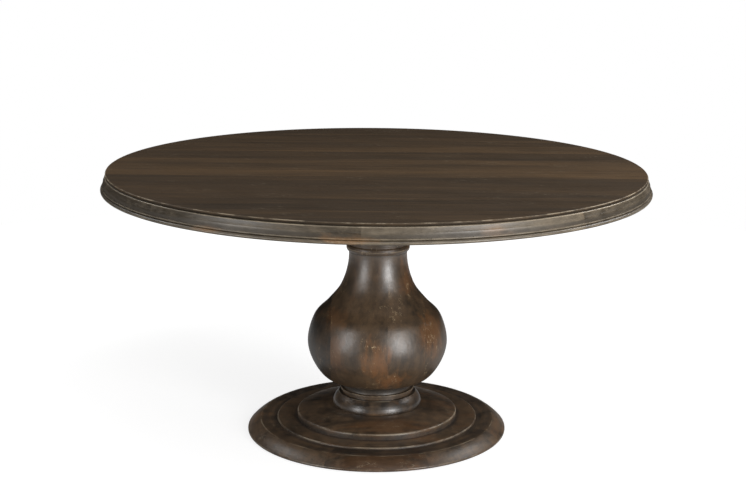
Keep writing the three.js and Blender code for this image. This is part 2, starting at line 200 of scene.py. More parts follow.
def smooth_line(corners: Sequence[Corner], spans: int) -> list[Corner]:
    """Runs a Catmull-Rom curve through corners.

    Args:
        corners: The corners that the curve passes.
        spans: Count of spans between two of them.

    Returns:
        The corners of the fine curve, both ends included.
    """
    points = [Vector((corner.radius, corner.height)) for corner in corners]
    padded = [2 * points[0] - points[1], *points, 2 * points[-1] - points[-2]]
    laid = []
    for number in range(len(points) - 1):
        before, near, far, after = padded[number:number + 4]
        for step in range(spans):
            t = step / spans
            place = 0.5 * (
                2 * near
                + (far - before) * t
                + (2 * before - 5 * near + 4 * far - after) * t * t
                + (3 * near - before - 3 * far + after) * t * t * t
            )
            laid.append(Corner(place.x, place.y))
    laid.append(corners[-1])
    return laid


def round_off(
    shape: Shape, chosen: Sequence[object], size: float, segments: int,
    affect: str = "EDGES",
) -> None:
    """Bevels chosen edges of a shape, or chosen corners of a wire.

    Args:
        shape: The shape, which is changed.
        chosen: The edges or vertices.
        size: How far the bevel runs back.
        segments: Count of its steps.
        affect: EDGES or VERTICES.
    """
    bmesh.ops.bevel(
        shape, geom=chosen, offset=size, offset_type="OFFSET", segments=segments,
        profile=0.5, affect=affect, material=-1, clamp_overlap=True,
    )


def wire(corners: Sequence[Corner], closed: bool) -> Shape:
    """Lays an outline upright over the X axis and rounds its corners.

    Args:
        corners: The corners in order.
        closed: False leaves the outline open.

    Returns:
        A new bmesh that holds the outline.
    """
    shape = bmesh.new()
    verts = [shape.verts.new((corner.radius, 0.0, corner.height)) for corner in corners]
    for near, far in zip(verts, verts[1:]):
        shape.edges.new((near, far))
    if closed:
        shape.edges.new((verts[-1], verts[0]))
    for rounding in sorted({corner.rounding for corner in corners if corner.rounding > 0}):
        chosen = [vert for vert, corner in zip(verts, corners) if corner.rounding == rounding]
        round_off(shape, chosen, rounding, CORNER_SEGMENTS, "VERTICES")
    return shape


def close(shape: Shape) -> None:
    """Fills each open loop of a shape and turns its faces outwards.

    Args:
        shape: The shape, which is changed.
    """
    rims = [edge for edge in shape.edges if edge.is_boundary]
    bmesh.ops.holes_fill(shape, edges=rims, sides=0)
    bmesh.ops.recalc_face_normals(shape, faces=shape.faces[:])


def turned(
    corners: Sequence[Corner], steps: int, closed: bool = True,
    start: float = 0.0, sweep: float = FULL_TURN,
) -> Shape:
    """Turns an outline about the table's axis.

    Args:
        corners: The outline.
        steps: Count of steps round the turn.
        closed: False for an outline whose two ends are filled with flat faces.
        start: Angle of the first outline from the X axis.
        sweep: Angle that the turn runs through.

    Returns:
        A new bmesh with a closed skin.
    """
    shape = wire(corners, closed)
    about_z = Matrix.Rotation(math.radians(start), 3, "Z")
    bmesh.ops.rotate(shape, verts=shape.verts[:], cent=(0, 0, 0), matrix=about_z)
    bmesh.ops.spin(
        shape, geom=shape.verts[:] + shape.edges[:], cent=(0, 0, 0), axis=(0, 0, 1),
        dvec=(0, 0, 0), angle=math.radians(sweep), steps=steps,
        use_merge=sweep == FULL_TURN, use_duplicate=False,
    )
    bmesh.ops.remove_doubles(shape, verts=shape.verts[:], dist=WELD)
    close(shape)
    return shape


def keep_between(
    shape: Shape, axis: Vector, low: float | None, high: float | None
) -> None:
    """Cuts a shape with two flat planes and closes it.

    Args:
        shape: The shape, which is changed.
        axis: Direction square to both planes.
        low: Place of the first plane along the axis, or None.
        high: Place of the second one, or None.
    """
    for place, facing in ((low, -1.0), (high, 1.0)):
        if place is None:
            continue
        everything = shape.verts[:] + shape.edges[:] + shape.faces[:]
        bmesh.ops.bisect_plane(
            shape, geom=everything, dist=WELD, plane_co=axis * place, plane_no=axis * facing,
            clear_outer=True, clear_inner=False,
        )
        close(shape)


def slices(
    whole: Shape, nodes: Sequence[str], axis: Vector
) -> Iterator[tuple[str, Shape]]:
    """Cuts a shape into a slice for each node, which reaches past the node's box into the joint.

    Args:
        whole: The shape, which is freed.
        nodes: Names of the nodes from one end to the other.
        axis: Direction in which they follow one another.

    Yields:
        The name of each node with its slice.
    """
    for node in nodes:
        low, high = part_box(node)
        part = whole.copy()
        first = None if node == nodes[0] else axis.dot(low) - GLUE_LINE
        last = None if node == nodes[-1] else axis.dot(high) + GLUE_LINE
        keep_between(part, axis, first, last)
        yield node, part
    whole.free()


def butted(count: int, first_joint: float, gap: float) -> Iterator[tuple[float, float, Place]]:
    """Goes round a ring of butted segments.

    Args:
        count: Count of segments.
        first_joint: Angle of the joint where the first one starts.
        gap: Angle of the gap in each joint.

    Yields:
        The start and the sweep of each segment, and the direction of its grain.
    """
    sweep = FULL_TURN / count
    for number in range(count):
        start = first_joint + number * sweep
        heading = math.radians(start + sweep / 2 + 90.0)
        yield start + gap / 2, sweep - gap, (math.cos(heading), math.sin(heading), 0.0)


def ease(shape: Shape, size: float, segments: int, angle: float) -> None:
    """Bevels every edge of a shape that is sharper than an angle.

    Args:
        shape: The shape, which is changed.
        size: How far the bevel runs back.
        segments: Count of its steps.
        angle: The least angle between two faces that counts as sharp.
    """
    sharp = [
        edge for edge in shape.edges
        if len(edge.link_faces) == 2 and edge.calc_face_angle(0.0) > math.radians(angle)
    ]
    round_off(shape, sharp, size, segments)


def move_grown(
    shape: Shape, grown: dict[str, list], by: Place
) -> list[bmesh.types.BMVert]:
    """Moves what an extrusion has added.

    Args:
        shape: The shape, which is changed.
        grown: Result of the extrusion.
        by: How far it is moved.

    Returns:
        The vertices that were moved.
    """
    moved = [part for part in grown["geom"] if isinstance(part, bmesh.types.BMVert)]
    bmesh.ops.translate(shape, verts=moved, vec=by)
    return moved


def lowest_face(shape: Shape) -> bmesh.types.BMFace:
    """Returns the lowest face of a shape, and of several the largest."""
    return min(shape.faces, key=lambda face: (face.calc_center_median().z, -face.calc_area()))


def edges_at(verts: Sequence[bmesh.types.BMVert]) -> list[bmesh.types.BMEdge]:
    """Returns the edges that end at any of the vertices."""
    return list({edge for vert in verts for edge in vert.link_edges})


def centre_of(node: str) -> Vector:
    """Returns the middle of a node's box."""
    low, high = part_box(node)
    return (low + high) / 2


def set_down(shape: Shape, node: str) -> None:
    """Moves a shape that was made about the table's axis to the upright axis of its node."""
    middle = centre_of(node)
    bmesh.ops.translate(shape, verts=shape.verts[:], vec=(middle.x, middle.y, 0))


def mesh_of(shape: Shape, name: str) -> bpy.types.Mesh:
    """Makes a mesh from a shape.

    Args:
        shape: The shape, which is freed.
        name: Name of the mesh.

    Returns:
        The new mesh.
    """
    mesh = bpy.data.meshes.new(name)
    shape.to_mesh(mesh)
    shape.free()
    return mesh


def linked(name: str, data: bpy.types.ID) -> bpy.types.Object:
    """Makes an object from a mesh, a lamp or a camera and links it to the scene.

    Args:
        name: Name of the object.
        data: What the object shows.

    Returns:
        The new object.
    """
    thing = bpy.data.objects.new(name, data)
    bpy.context.scene.collection.objects.link(thing)
    return thing


def write_point_attribute(
    mesh: bpy.types.Mesh, name: str, kind: str, key: str, values: np.ndarray
) -> None:
    """Writes one value for each vertex of a mesh to a named attribute.

    Args:
        mesh: The mesh, which is changed.
        name: Name of the attribute.
        kind: Its data type.
        key: Name of the value in one of its items.
        values: The values in the order of the vertices.
    """
    layer = mesh.attributes.new(name, kind, "POINT")
    layer.data.foreach_set(key, values.astype(np.float32).ravel())


def finished(
    shape: Shape, node: str, material: bpy.types.Material, slot: Slot, plank: Plank
) -> None:
    """Makes a piece of the table from a shape and puts it in place of its node.

    Args:
        shape: The shape, which is freed.
        node: Name of the node that the piece stands for.
        material: Its finish.
        slot: Not used.
        plank: The plank that it is cut from.
    """
    mesh = mesh_of(shape, f"{node}_finished")
    mesh.shade_smooth()
    mesh.set_sharp_from_angle(angle=math.radians(SHARP_ANGLE))
    places = np.empty(len(mesh.vertices) * 3, np.float32)
    mesh.vertices.foreach_get("co", places)
    offset = np.array(SEED_STEP) * plank.seed
    timber = places.reshape(-1, 3) @ np.array(plank.axes()).T + offset
    write_point_attribute(mesh, "timber", "FLOAT_VECTOR", "vector", timber)
    for name, value in (("tone", plank.tone), ("warmth", plank.warmth)):
        even = np.full(len(mesh.vertices), value)
        write_point_attribute(mesh, name, "FLOAT", "value", even)
    mesh.materials.append(material)
    piece = linked(mesh.name, mesh)
    piece.modifiers.new("even_shading", "WEIGHTED_NORMAL").keep_sharp = True
    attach(piece, BODY)
    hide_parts(node)
    LOG.info("%s: %d faces", piece.name, len(mesh.polygons))


@dataclass(frozen=True)
class Cloud:
    """A cloudy pattern.

    Args:
        scale: Cycles in a metre along X, Y and Z.
        detail: How many finer patterns are laid over it.
        roughness: How strong the finer ones are.
        distortion: How far it swirls.
        shift: How far it is moved along X, Y and Z.
    """

    scale: Place
    detail: float = 3.0
    roughness: float = 0.55
    distortion: float = 0.0
    shift: Place = (0.0, 0.0, 0.0)


class NodeBench:
    """Lays and joins the nodes of one tree."""

    CLOUD_MIDDLE = 0.5
    BLEND_SHARE, BLEND_UNDER, BLEND_OVER, BLEND_RESULT = 0, 6, 7, 2

    def __init__(self, tree: bpy.types.NodeTree) -> None:
        """Clears the tree.

        Args:
            tree: The tree of a material or of the world.
        """
        self.tree = tree
        self.tree.nodes.clear()

    def lay(self, kind: str, **settings: object) -> bpy.types.Node:
        """Adds a node.

        Args:
            kind: Its type.
            **settings: Its settings by name.

        Returns:
            The node.
        """
        node = self.tree.nodes.new(kind)
        for name, value in settings.items():
            setattr(node, name, value)
        return node

    def join(self, source: object, target: Socket) -> None:
        """Links a socket to an input, or sets the input where the source is a plain value.

        Args:
            source: The socket or the value.
            target: The input.
        """
        if isinstance(source, Socket):
            self.tree.links.new(source, target)
        else:
            target.default_value = source

    def fed(self, node: bpy.types.Node, *sources: object) -> bpy.types.Node:
        """Joins sources to the first inputs of a node in their order, and returns the node."""
        for source, target in zip(sources, node.inputs):
            self.join(source, target)
        return node

    def attribute(self, name: str, output: str) -> Socket:
        """Reads an attribute of the mesh."""
        return self.lay("ShaderNodeAttribute", attribute_name=name).outputs[output]

    def place(self) -> Socket:
        """Reads the place of a point in the table's frame."""
        return self.lay("ShaderNodeTexCoord").outputs["Object"]

    def split(self, vector: Socket) -> Sequence[Socket]:
        """Splits a vector into X, Y and Z."""
        return self.fed(self.lay("ShaderNodeSeparateXYZ"), vector).outputs

    def away(self, vector: Socket, point: Place) -> Socket:
        """Returns how far a place is from a point."""
        node = self.lay("ShaderNodeVectorMath", operation="DISTANCE")
        return self.fed(node, vector, point).outputs["Value"]

    def stretch(self, vector: Socket, scale: Place, shift: Place) -> Socket:
        """Scales a vector by axis, then shifts it."""
        node = self.lay("ShaderNodeVectorMath", operation="MULTIPLY_ADD")
        return self.fed(node, vector, scale, shift).outputs["Vector"]

    def cloud(self, vector: Socket, pattern: Cloud) -> Socket:
        """Lays a cloudy pattern over a place.

        Args:
            vector: The place.
            pattern: The pattern.

        Returns:
            A value from 0 to 1 about 0.5.
        """
        node = self.lay("ShaderNodeTexNoise", noise_dimensions="3D")
        for name, source in (
            ("Vector", self.stretch(vector, pattern.scale, pattern.shift)),
            ("Scale", 1.0),
            ("Detail", pattern.detail),
            ("Roughness", pattern.roughness),
            ("Distortion", pattern.distortion),
        ):
            self.join(source, node.inputs[name])
        return node.outputs["Fac"]

    def sum(
        self, operation: str, first: object, second: object = 0.0, clamp: bool = False
    ) -> Socket:
        """Works out one sum of two values."""
        node = self.lay("ShaderNodeMath", operation=operation, use_clamp=clamp)
        return self.fed(node, first, second).outputs["Value"]

    def plus(self, total: object, value: object, share: float) -> Socket:
        """Adds a share of a value to a total."""
        return self.sum("ADD", total, self.sum("MULTIPLY", value, share))

    def swing(self, cloud: Socket, share: float = 1.0) -> Socket:
        """Returns a share of how far a cloud is from its middle."""
        return self.sum("MULTIPLY", self.sum("SUBTRACT", cloud, self.CLOUD_MIDDLE), share)

    def span(
        self, value: Socket, low: float, high: float,
        first: float = 0.0, last: float = 1.0,
    ) -> Socket:
        """Maps a value from one range to another, smoothly and without going past its ends.

        Args:
            value: The value.
            low: Where its own range starts.
            high: Where that range ends.
            first: Result at the start.
            last: Result at the end.

        Returns:
            The mapped value.
        """
        node = self.lay("ShaderNodeMapRange", interpolation_type="SMOOTHSTEP", clamp=True)
        return self.fed(node, value, low, high, first, last).outputs["Result"]

    def ramp(self, value: Socket, stops: Sequence[tuple[float, Colour]]) -> Socket:
        """Turns a value into a colour.

        Args:
            value: The value.
            stops: Values with the colour that each stands for.

        Returns:
            The colour.
        """
        node = self.lay("ShaderNodeValToRGB")
        self.join(value, node.inputs["Fac"])
        elements = node.color_ramp.elements
        while len(elements) < len(stops):
            elements.new(0.5)
        for element, (position, colour) in zip(elements, stops):
            element.position = position
            element.color = (*colour, 1.0)
        return node.outputs["Color"]

    def blend(self, share: object, under: Socket, over: Colour) -> Socket:
        """Lays one colour over another.

        Args:
            share: How much of it shows.
            under: The colour below.
            over: The colour laid over it.

        Returns:
            The blended colour.
        """
        node = self.lay("ShaderNodeMix", data_type="RGBA", blend_type="MIX", clamp_factor=True)
        self.join(share, node.inputs[self.BLEND_SHARE])
        self.join(under, node.inputs[self.BLEND_UNDER])
        self.join((*over, 1.0), node.inputs[self.BLEND_OVER])
        return node.outputs[self.BLEND_RESULT]

    def seen(self, in_gloss: float) -> Socket:
        """Picks out the rays in which a background is seen.

        Args:
            in_gloss: How much a ray of a reflection counts, from 0 to 1.

        Returns:
            1 for rays of the camera and through glass, in_gloss in reflections, 0 for others.
        """
        path = self.lay("ShaderNodeLightPath").outputs
        total = self.plus(path["Is Camera Ray"], path["Is Glossy Ray"], in_gloss)
        return self.sum("ADD", total, path["Is Transmission Ray"], clamp=True)


class PaintBench(NodeBench):
    """Lays and joins the nodes of one material."""

    def __init__(self, name: str) -> None:
        """Starts an empty material.

        Args:
            name: Name of the material.
        """
        self.material = bpy.data.materials.new(name)
        self.material.use_nodes = True
        super().__init__(self.material.node_tree)
        self.surface = self.lay("ShaderNodeBsdfPrincipled")
        output = self.lay("ShaderNodeOutputMaterial")
        self.join(self.surface.outputs["BSDF"], output.inputs["Surface"])

    def dress(self, sources: dict[str, object]) -> None:
        """Joins a source to each named input of the surface."""
        for name, source in sources.items():
            self.join(source, self.surface.inputs[name])

    def relief(self, height: Socket, depth: float, strength: float) -> None:
        """Bumps the surface.

        Args:
            height: A height from 0 to 1.
            depth: What a height of 1 stands for.
            strength: How much of it shows, from 0 to 1.
        """
        node = self.lay("ShaderNodeBump")
        for name, source in (("Strength", strength), ("Distance", depth), ("Height", height)):
            self.join(source, node.inputs[name])
        self.dress({"Normal": node.outputs["Normal"]})


@dataclass(frozen=True)
class RingMark:
    """A paler arris, for worn stain and partly a painted highlight, or a recess darkened as painted
    shade.

    Args:
        radius: Its distance from the axis.
        height: Its height.
        reach: How far from it the mark runs.
        strength: How much of it shows, from 0 to 1.
    """

    radius: float
    height: float
    reach: float = 0.0012
    strength: float = 0.6


@dataclass(frozen=True)
class WarmPatch:
    """A place where the stain is thin and the orange of the timber shows.

    Args:
        centre: Its middle in the table's frame.
        reach: How far it runs along X, Y and Z.
        strength: How much of it shows, from 0 to 1.
    """

    centre: Place
    reach: Place
    strength: float = 1.0


STREAK_LAYERS = (
    (1.0, 1.0, 2.0, 0.3, 0.55),
    (3.2, 5.5, 4.0, 0.0, 0.55),
    (9.0, 30.0, 3.0, 0.0, 0.35),
)
STREAK_LEVEL = -0.225
STAIN_STOPS = (0.18, 0.48, 0.82)
TONE_SHARE = 0.16
WARMTH_SHARE = 0.12
SPOTS = Cloud((30.0, 22.0, 22.0), 4.0, 0.6, shift=(9.0, 2.0, 4.0))
THIN_STAIN = Cloud((5.0, 14.0, 14.0), 4.0, 0.6, 0.4)
THIN_STAIN_START, THIN_STAIN_FALL, THIN_STAIN_SPAN, THIN_STAIN_MOST = 0.74, 0.3, 0.2, 0.55
PATCH_EDGE = Cloud((14.0, 45.0, 45.0), 4.0, 0.62)
PATCH_RAGGED = 3.2
PATCH_RANGE = (1.35, 0.25)
PORES = Cloud((60.0, 900.0, 900.0), 2.0, 0.5)
PORE_RANGE = (0.60, 0.72, 0.0, 0.55)
SCRATCHES = Cloud((34.0, 70.0, 70.0), 3.0, 0.6)
SCRATCH_WIDTH = (0.016, 0.004)
SCRATCH_BREAKS = Cloud((50.0, 80.0, 80.0), 2.0)
SCRATCH_BREAK_RANGE = (0.46, 0.56)
SCRATCH_PLACES = Cloud((7.0, 12.0, 12.0), shift=(5.0, 5.0, 5.0))
SCRATCH_PLACE_RANGE = (0.55, 0.67)
SCRATCH_WARMTH = 0.22
HOLLOW_SHADE_BREAKS = (22.0, 0.7)
HOLLOW_DULLNESS = 0.22
MARK_CORE = 0.2
MARK_DETAIL, MARK_ROUGHNESS = 5.0, 0.65
MARK_BREAK_RANGE = (0.42, 0.60)
POLISH_RISE = 0.4
POLISH_END = 0.004
COAT_ROUGHNESS = 0.34
HANDLED = Cloud((9.0, 9.0, 9.0), 4.0, 0.6)
HANDLED_RANGE = (0.25, 0.75)
CLEANER, DULLER = 0.05, 0.08
STREAK_DULLNESS = 0.10
DENTS = Cloud((55.0, 55.0, 55.0), 3.0, 0.5)
STREAK_RELIEF, PORE_RELIEF = 0.12, -0.10
DENT_RANGE = 4.0
RELIEF_STRENGTH = 0.5


@dataclass(frozen=True)
class WoodFinish:
    """Dark stain under a satin lacquer on fine-grained hardwood, with worn stain and scratches,
    painted highlights along its arrises and painted shade in its recesses.

    Args:
        name: Name of the material.
        dark: Colour of the darkest streaks.
        middle: Colour of most of the surface.
        light: Colour of the palest streaks.
        warm: Colour where the stain is thin.
        rubbed_and_highlight: Colour of the pale scratches and of the pale arrises, which stand for
            worn stain and partly for a painted highlight.
        roughness: Middle roughness of the lacquer.
        gloss: Its specular level, where 0.5 is a clear lacquer.
        polish: Lowest and highest height of the part that hands have polished, or None.
        polish_weight: How much of a clearer coat shows there.
        warm_cover: Share of the surface that is thinly stained, from 0 to 1.
        band_scale: Cycles in a metre of the broad bands, along and across the grain.
        scratches: Strength of the fine pale scratches.
        mottle: Strength of the darker and paler spots across the grain.
        arris_breaks: Cycles in a metre of the breaks along the pale arrises, and the least that
            shows in one.
        dents: Depth of the shallow dents.
        edges: Its pale arrises, which are worn stain and partly a painted highlight.
        shaded_hollows: The recesses that are painted darker as painted shade, and made duller.
        patches: Its warm patches.
    """

    name: str
    dark: Colour = (0.018, 0.013, 0.009)
    middle: Colour = (0.048, 0.033, 0.020)
    light: Colour = (0.090, 0.058, 0.031)
    warm: Colour = (0.135, 0.064, 0.025)
    rubbed_and_highlight: Colour = (0.34, 0.28, 0.20)
    roughness: float = 0.38
    gloss: float = 0.26
    polish: tuple[float, float] | None = None
    polish_weight: float = 0.5
    warm_cover: float = 0.25
    band_scale: tuple[float, float] = (1.3, 16.0)
    scratches: float = 0.3
    mottle: float = 0.0
    arris_breaks: tuple[float, float] = (22.0, 0.15)
    dents: float = 0.0002
    edges: tuple[RingMark, ...] = ()
    shaded_hollows: tuple[RingMark, ...] = ()
    patches: tuple[WarmPatch, ...] = ()

    def material(self) -> bpy.types.Material:
        """Lays the nodes of the finish.

        Returns:
            The material.
        """
        bench = PaintBench(self.name)
        timber = bench.attribute("timber", "Vector")
        streaks = self.lay_streaks(bench, timber)
        warmth = self.lay_warmth(bench, timber)
        pores = bench.span(bench.cloud(timber, PORES), *PORE_RANGE)
        # Mask of the recesses that are darkened as painted shade and made duller.
        hollow_shade = self.lay_rings(bench, self.shaded_hollows, *HOLLOW_SHADE_BREAKS) if self.shaded_hollows else 0.0
        colour = bench.ramp(streaks, list(zip(STAIN_STOPS, (self.dark, self.middle, self.light))))
        colour = bench.blend(warmth, colour, self.warm)
        colour = bench.blend(pores, colour, self.dark)
        colour = bench.blend(self.lay_scratches(bench, timber, warmth), colour, self.rubbed_and_highlight)
        # Painted shade: the recesses are darkened with the darkest stain colour.
        colour = bench.blend(hollow_shade, colour, self.dark)
        # Painted highlight, partly worn stain: the arrises are paled, broken up along their length.
        if self.edges:
            pale_arrises = self.lay_rings(bench, self.edges, *self.arris_breaks)
            colour = bench.blend(pale_arrises, colour, self.rubbed_and_highlight)
        bench.dress({
            "Base Color": colour,
            "Roughness": self.lay_roughness(bench, streaks, hollow_shade),
            "Specular IOR Level": self.gloss,
        })
        if self.polish is not None:
            coat = self.lay_polish(bench, *self.polish)
            bench.dress({"Coat Weight": coat, "Coat Roughness": COAT_ROUGHNESS})
        self.lay_relief(bench, streaks, pores)
        return bench.material

    def lay_streaks(self, bench: PaintBench, timber: Socket) -> Socket:
        """Adds up broad bands, streaks and fine grain with the plank's own tone and spots.

        Each layer holds how much finer than the bands it is along and across the grain, its
        detail, its distortion and its share.

        Args:
            bench: Bench of the material.
            timber: Place in the timber.

        Returns:
            A value that is low in dark streaks and high in pale ones.
        """
        along, across = self.band_scale
        total = STREAK_LEVEL
        for finer_along, finer_across, detail, distortion, share in STREAK_LAYERS:
            wide = finer_across * across
            layer = Cloud((finer_along * along, wide, wide), detail, distortion=distortion)
            total = bench.plus(total, bench.cloud(timber, layer), share)
        total = bench.plus(total, bench.attribute("tone", "Fac"), TONE_SHARE)
        return bench.sum("ADD", total, bench.swing(bench.cloud(timber, SPOTS), self.mottle))

    def lay_warmth(self, bench: PaintBench, timber: Socket) -> Socket:
        """Finds where the stain is thin, in scattered clouds and in the named patches.

        Args:
            bench: Bench of the material.
            timber: Place in the timber.

        Returns:
            The share of thin stain.
        """
        clouds = bench.cloud(timber, THIN_STAIN)
        clouds = bench.plus(clouds, bench.attribute("warmth", "Fac"), WARMTH_SHARE)
        start = THIN_STAIN_START - THIN_STAIN_FALL * self.warm_cover
        warmth = bench.span(clouds, start, start + THIN_STAIN_SPAN, 0.0, THIN_STAIN_MOST)
        ragged = bench.swing(bench.cloud(timber, PATCH_EDGE), PATCH_RAGGED)
        for patch in self.patches:
            scale = tuple(1.0 / reach for reach in patch.reach)
            shift = tuple(-at / reach for at, reach in zip(patch.centre, patch.reach))
            away = bench.away(bench.stretch(bench.place(), scale, shift), (0.0, 0.0, 0.0))
            near = bench.span(bench.sum("ADD", away, ragged), *PATCH_RANGE, 0.0, patch.strength)
            warmth = bench.sum("MAXIMUM", warmth, near)
        return warmth

    def lay_scratches(self, bench: PaintBench, timber: Socket, warmth: Socket) -> Socket:
        """Lays the fine pale scratches, which are the level lines of a cloud.

        Args:
            bench: Bench of the material.
            timber: Place in the timber.
            warmth: Share of thin stain, where more of them show.

        Returns:
            Their mask.
        """
        ridge = bench.sum("ABSOLUTE", bench.swing(bench.cloud(timber, SCRATCHES)))
        broken = bench.span(bench.cloud(timber, SCRATCH_BREAKS), *SCRATCH_BREAK_RANGE)
        lines = bench.sum("MULTIPLY", bench.span(ridge, *SCRATCH_WIDTH), broken)
        where = bench.plus(bench.cloud(timber, SCRATCH_PLACES), warmth, SCRATCH_WARMTH)
        lines = bench.sum("MULTIPLY", lines, bench.span(where, *SCRATCH_PLACE_RANGE))
        return bench.sum("MULTIPLY", lines, self.scratches)

    def lay_rings(
        self, bench: PaintBench, marks: Sequence[RingMark], cycles: float, least: float
    ) -> Socket:
        """Lays the marks that run round the axis.

        Args:
            bench: Bench of the material.
            marks: The marks.
            cycles: Cycles in a metre of the breaks in them.
            least: How much of them shows where they show least.

        Returns:
            Their mask, broken up along its length.
        """
        x, y, z = bench.split(bench.place())
        square = bench.sum("ADD", bench.sum("MULTIPLY", x, x), bench.sum("MULTIPLY", y, y))
        section = bench.fed(bench.lay("ShaderNodeCombineXYZ"), bench.sum("SQRT", square), z)
        total = 0.0
        for mark in marks:
            away = bench.away(section.outputs["Vector"], (mark.radius, mark.height, 0.0))
            near = bench.span(away, mark.reach, MARK_CORE * mark.reach, 0.0, mark.strength)
            total = bench.sum("MAXIMUM", total, near)
        breaks = Cloud((cycles, cycles, cycles), MARK_DETAIL, MARK_ROUGHNESS)
        uneven = bench.span(bench.cloud(bench.place(), breaks), *MARK_BREAK_RANGE, least, 1.0)
        return bench.sum("MULTIPLY", total, uneven)

    def lay_polish(self, bench: PaintBench, low: float, high: float) -> Socket:
        """Lays the clearer coat that hands have polished.

        Args:
            bench: Bench of the material.
            low: Height where it starts to show.
            high: Height up to which it shows in full.

        Returns:
            How much of the coat shows.
        """
        height = bench.split(bench.place())["Z"]
        full = low + POLISH_RISE * (high - low)
        rise = bench.span(height, low, full, 0.0, self.polish_weight)
        return bench.sum("MULTIPLY", rise, bench.span(height, high, high + POLISH_END, 1.0, 0.0))

    def lay_roughness(self, bench: PaintBench, streaks: Socket, hollow_shade: object) -> Socket:
        """Makes the lacquer uneven from hands and dry streaks, and duller in the shaded recesses.

        Args:
            bench: Bench of the material.
            streaks: The streaks of the timber.
            hollow_shade: Mask of the recesses painted as shade, or 0.

        Returns:
            The roughness.
        """
        rough = bench.span(
            bench.cloud(bench.place(), HANDLED), *HANDLED_RANGE,
            self.roughness - CLEANER, self.roughness + DULLER,
        )
        rough = bench.sum("ADD", rough, bench.swing(streaks, STREAK_DULLNESS))
        return bench.plus(rough, hollow_shade, HOLLOW_DULLNESS)

    def lay_relief(self, bench: PaintBench, streaks: Socket, pores: Socket) -> None:
        """Bumps the surface by its open grain, its pores and its shallow dents.

        Args:
            bench: Bench of the material.
            streaks: The streaks of the timber.
            pores: Mask of its pores.
        """
        height = bench.plus(bench.cloud(bench.place(), DENTS), streaks, STREAK_RELIEF)
        height = bench.plus(height, pores, PORE_RELIEF)
        bench.relief(height, DENT_RANGE * self.dents, RELIEF_STRENGTH)


@dataclass(frozen=True)
class PlainFinish:
    """A smooth stuff of one colour, clouded by handling.

    Args:
        name: Name of the material.
        stops: Its colours, by the value of the cloud.
        cloud: The pattern of the clouding.
        dulled: Range of the cloud and the roughness at both of its ends.
        metallic: 1 for metal, 0 for others.
        grain: The pattern of its fine relief.
        grain_depth: Depth of that relief.
        grain_strength: How much of the relief shows, from 0 to 1.
    """

    name: str
    stops: tuple[tuple[float, Colour], ...]
    cloud: Cloud
    dulled: tuple[float, float, float, float]
    metallic: float
    grain: Cloud
    grain_depth: float
    grain_strength: float = 0.4

    def material(self) -> bpy.types.Material:
        """Lays the nodes of the finish.

        Returns:
            The material.
        """
        bench = PaintBench(self.name)
        clouded = bench.cloud(bench.place(), self.cloud)
        bench.dress({
            "Base Color": bench.ramp(clouded, self.stops),
            "Roughness": bench.span(clouded, *self.dulled),
            "Metallic": self.metallic,
        })
        fine = bench.cloud(bench.place(), self.grain)
        bench.relief(fine, self.grain_depth, self.grain_strength)
        return bench.material


@dataclass
class TableTop:
    """The boards of the top, cut from one disc with a rounded lip and a rabbet under it."""

    lip_radius: float = 0.7475
    lip_thickness: float = 0.007
    lip_rounding: float = 0.0036
    lip_under_rounding: float = 0.0022
    rabbet_width: float = 0.022
    arris: float = 0.0003
    arris_segments: int = 1
    arris_angle: float = 70.0
    steps: int = 360
    first_seed: int = 1
    tones: tuple[float, ...] = (-0.1, -0.35, -0.05, -0.5, 0.75, 0.45, -0.4, 0.3, -0.1, -0.3, -0.6)
    warmths: tuple[float, ...] = (-0.2, -0.3, 0.0, -0.6, 0.4, 0.4, 0.2, 0.3, 0.1, 0.0, -0.3)

    def disc(self, low: float, high: float) -> Shape:
        """Turns the whole disc.

        Args:
            low: Height of its underside.
            high: Height of its top.

        Returns:
            The disc as one skin.
        """
        rabbet = self.lip_radius - self.rabbet_width
        under = high - self.lip_thickness
        return turned([
            Corner(rabbet, low),
            Corner(rabbet, under),
            Corner(self.lip_radius, under, self.lip_under_rounding),
            Corner(self.lip_radius, high, self.lip_rounding),
            Corner(self.lip_radius - 2 * self.lip_rounding, high),
        ], self.steps, closed=False)

    def build(self, finish: WoodFinish) -> None:
        """Cuts the disc into boards and dresses them.

        Args:
            finish: Finish of the boards.
        """
        material = finish.material()
        nodes = [f"top_board_{number:02d}" for number in range(1, len(self.tones) + 1)]
        low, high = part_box(nodes[0])
        boards = slices(self.disc(low.z, high.z), nodes, Vector(Grain.ALONG_Y.value))
        for number, (node, board) in enumerate(boards):
            ease(board, self.arris, self.arris_segments, self.arris_angle)
            seed = self.first_seed + number
            plank = Plank(Grain.ALONG_X.value, seed, self.tones[number], self.warmths[number])
            finished(board, node, material, Slot.TOP, plank)


